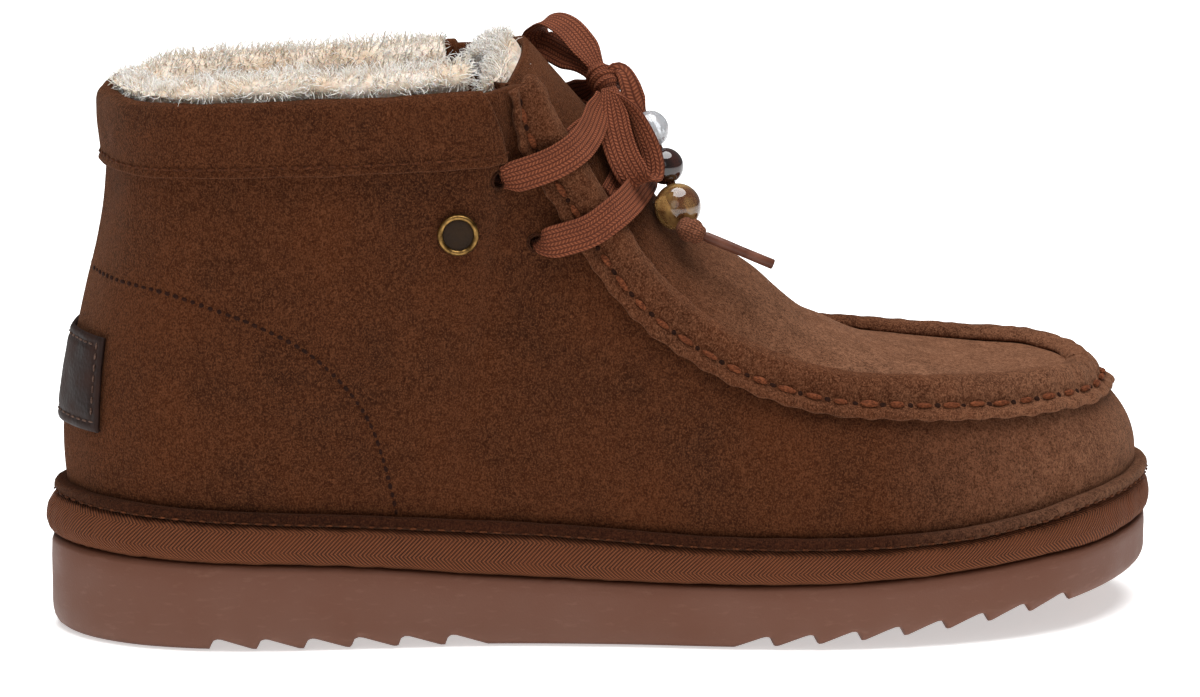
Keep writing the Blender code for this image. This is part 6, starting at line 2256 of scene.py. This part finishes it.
    def bead(self, bead: Bead, path: np.ndarray) -> bpy.types.Object:
        """A round glass bead, drilled for the cord that it hangs on."""
        middle = np.array(bead.middle) * MM
        k = int(np.argmin(np.linalg.norm(path - middle, axis=1)))
        way = unit(path[min(k + 4, len(path) - 1)] - path[max(k - 4, 0)])
        radius = bead.diameter / 2 * MM
        bore = self.cord_width / 2 + 0.1 * MM
        start = math.asin(bore / radius)
        profile = [(radius * math.sin(a), radius * math.cos(a))
                   for a in np.linspace(start, math.pi - start, 30)]
        bored = [(bore, h) for h in np.linspace(profile[-1][1], profile[0][1], 8)[1:-1]]
        mesh = turned_mesh(f"{bead.node}_glass", profile + bored, 56, middle, way, True)
        return self.shop.add(f"{bead.node}_glass", mesh, bead.glass, f"bead_{bead.glass}",
                             bead.node)

    def tip(self, tip: Tip) -> list:
        """The knot that holds the beads, and the long sleeve on the cord's end."""
        knot = np.array(tip.knot) * MM
        reach = np.array(tip.end) * MM - knot
        length = float(np.linalg.norm(reach))
        shares = np.linspace(0, math.pi, 30)
        profile = [(self.knot_width / 2 * math.sin(a) ** 0.8 + 1e-6,
                    -self.knot_length / 2 * math.cos(a)) for a in shares]
        mesh = turned_mesh(f"end_knot_{tip.name}", profile, 64, knot, reach)
        places = places_of(mesh)
        way = unit(reach)
        side, other = ways_across(way)
        around = np.arctan2((places - knot) @ other, (places - knot) @ side)
        along = (places - knot) @ way / self.knot_length
        coil = np.abs(np.sin(1.5 * around + 7.0 * along))
        mesh = pushed(mesh, (0.55 * coil - 0.35) * MM * np.clip(1 - (2 * along) ** 4, 0, 1))
        ball = self.shop.add(f"end_knot_{tip.name}", mesh, "cord", "lace")
        r = self.tip_width / 2
        sleeve = [(0, 2 * MM), (0.8 * r, 2 * MM), (0.86 * r, 3.6 * MM), (r, 4.0 * MM),
                  (1.02 * r, 0.4 * length), (0.97 * r, 0.6 * length), (1.0 * r, 0.985 * length),
                  (0.85 * r, length), (0.55 * r, length), (0.45 * r, 0.985 * length),
                  (0, 0.98 * length)]
        mesh = turned_mesh(f"tip_sleeve_{tip.name}", sleeve, 40, knot, reach)
        tube = self.shop.add(f"tip_sleeve_{tip.name}", mesh, "aglet", "lace", tip.node)
        return [ball, tube]


def length_of(path: np.ndarray) -> float:
    """A path's length."""
    return float(np.linalg.norm(np.diff(path, axis=0), axis=1).sum())


# Studio

class Lamp(NamedTuple):
    """A large soft lamp: its name, place, width and power."""

    name: str
    place: tuple
    size: float
    power: float


LAMPS = (Lamp("overhead", (0.1, -0.1, 2.3), 2.4, 84.0), Lamp("front", (-0.7, -1.9, 0.9), 1.5, 4.5))


@dataclass
class Studio:
    """Camera at the picture's angle, plain pale floor and soft light."""

    shop: Workshop
    aim: tuple = (-0.0005, 0.0, 0.0655)
    distance: float = 2.75
    azimuth: float = -6.0
    elevation: float = 12.0
    lens: float = 338.0
    sensor: float = 36.0
    floor_reach: float = 12.0
    floor_level: float = -0.2 * MM
    sky: float = 0.2

    def camera(self) -> None:
        """Set up the camera."""
        az = math.radians(self.azimuth)
        el = math.radians(self.elevation)
        way = Vector((math.sin(az) * math.cos(el), -math.cos(az) * math.cos(el), math.sin(el)))
        data = bpy.data.cameras.new("camera")
        data.lens = self.lens
        data.sensor_width = self.sensor
        data.clip_start = 0.05
        data.clip_end = 50
        camera = placed("camera", data)
        camera.location = Vector(self.aim) + way * self.distance
        camera.rotation_euler = (-way).to_track_quat("-Z", "Y").to_euler()
        bpy.context.scene.camera = camera

    def light(self, lamp: Lamp) -> None:
        """Hang a lamp that looks at the shoe."""
        data = bpy.data.lights.new(lamp.name, "AREA")
        data.shape = "DISK"
        data.size = lamp.size
        data.energy = lamp.power
        item = placed(lamp.name, data)
        item.location = lamp.place
        back = Vector(lamp.place) - Vector(self.aim)
        item.rotation_euler = back.to_track_quat("Z", "Y").to_euler()

    def build(self) -> None:
        """Make floor, lights, world and camera."""
        mesh = bpy.data.meshes.new("studio_floor")
        corners = ((-1, -1), (1, -1), (1, 1), (-1, 1))
        mesh.from_pydata([(x * self.floor_reach, y * self.floor_reach, self.floor_level)
                          for x, y in corners], [], [(0, 1, 2, 3)])
        mesh.materials.append(StudioPaper("studio paper").build())
        placed("studio_floor", mesh)
        for lamp in LAMPS:
            self.light(lamp)
        world = bpy.data.worlds.new("studio")
        world.use_nodes = True
        background = world.node_tree.nodes["Background"]
        background.inputs["Color"].default_value = (1.0, 1.0, 1.0, 1.0)
        background.inputs["Strength"].default_value = self.sky
        bpy.context.scene.world = world
        bpy.context.scene.view_settings.view_transform = "Standard"
        self.camera()


def main() -> None:
    """Build the boot and its studio."""
    logging.basicConfig(level=logging.INFO, format="%(name)s: %(message)s")
    for item in list(bpy.data.objects):
        bpy.data.objects.remove(item, do_unlink=True)
    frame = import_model()
    shop = Workshop(frame, BootForm())
    Studio(shop).build()
    Laces(shop).build()
    for sub_assembly in (Platform, UpperWall, ApronTongue, ApronStrip, Cuff, HeelPatch,
                         SideButton):
        sub_assembly(shop).build()
    CollarWool(shop).build()
    TongueWool(shop).build()


if __name__ == "__main__":
    main()
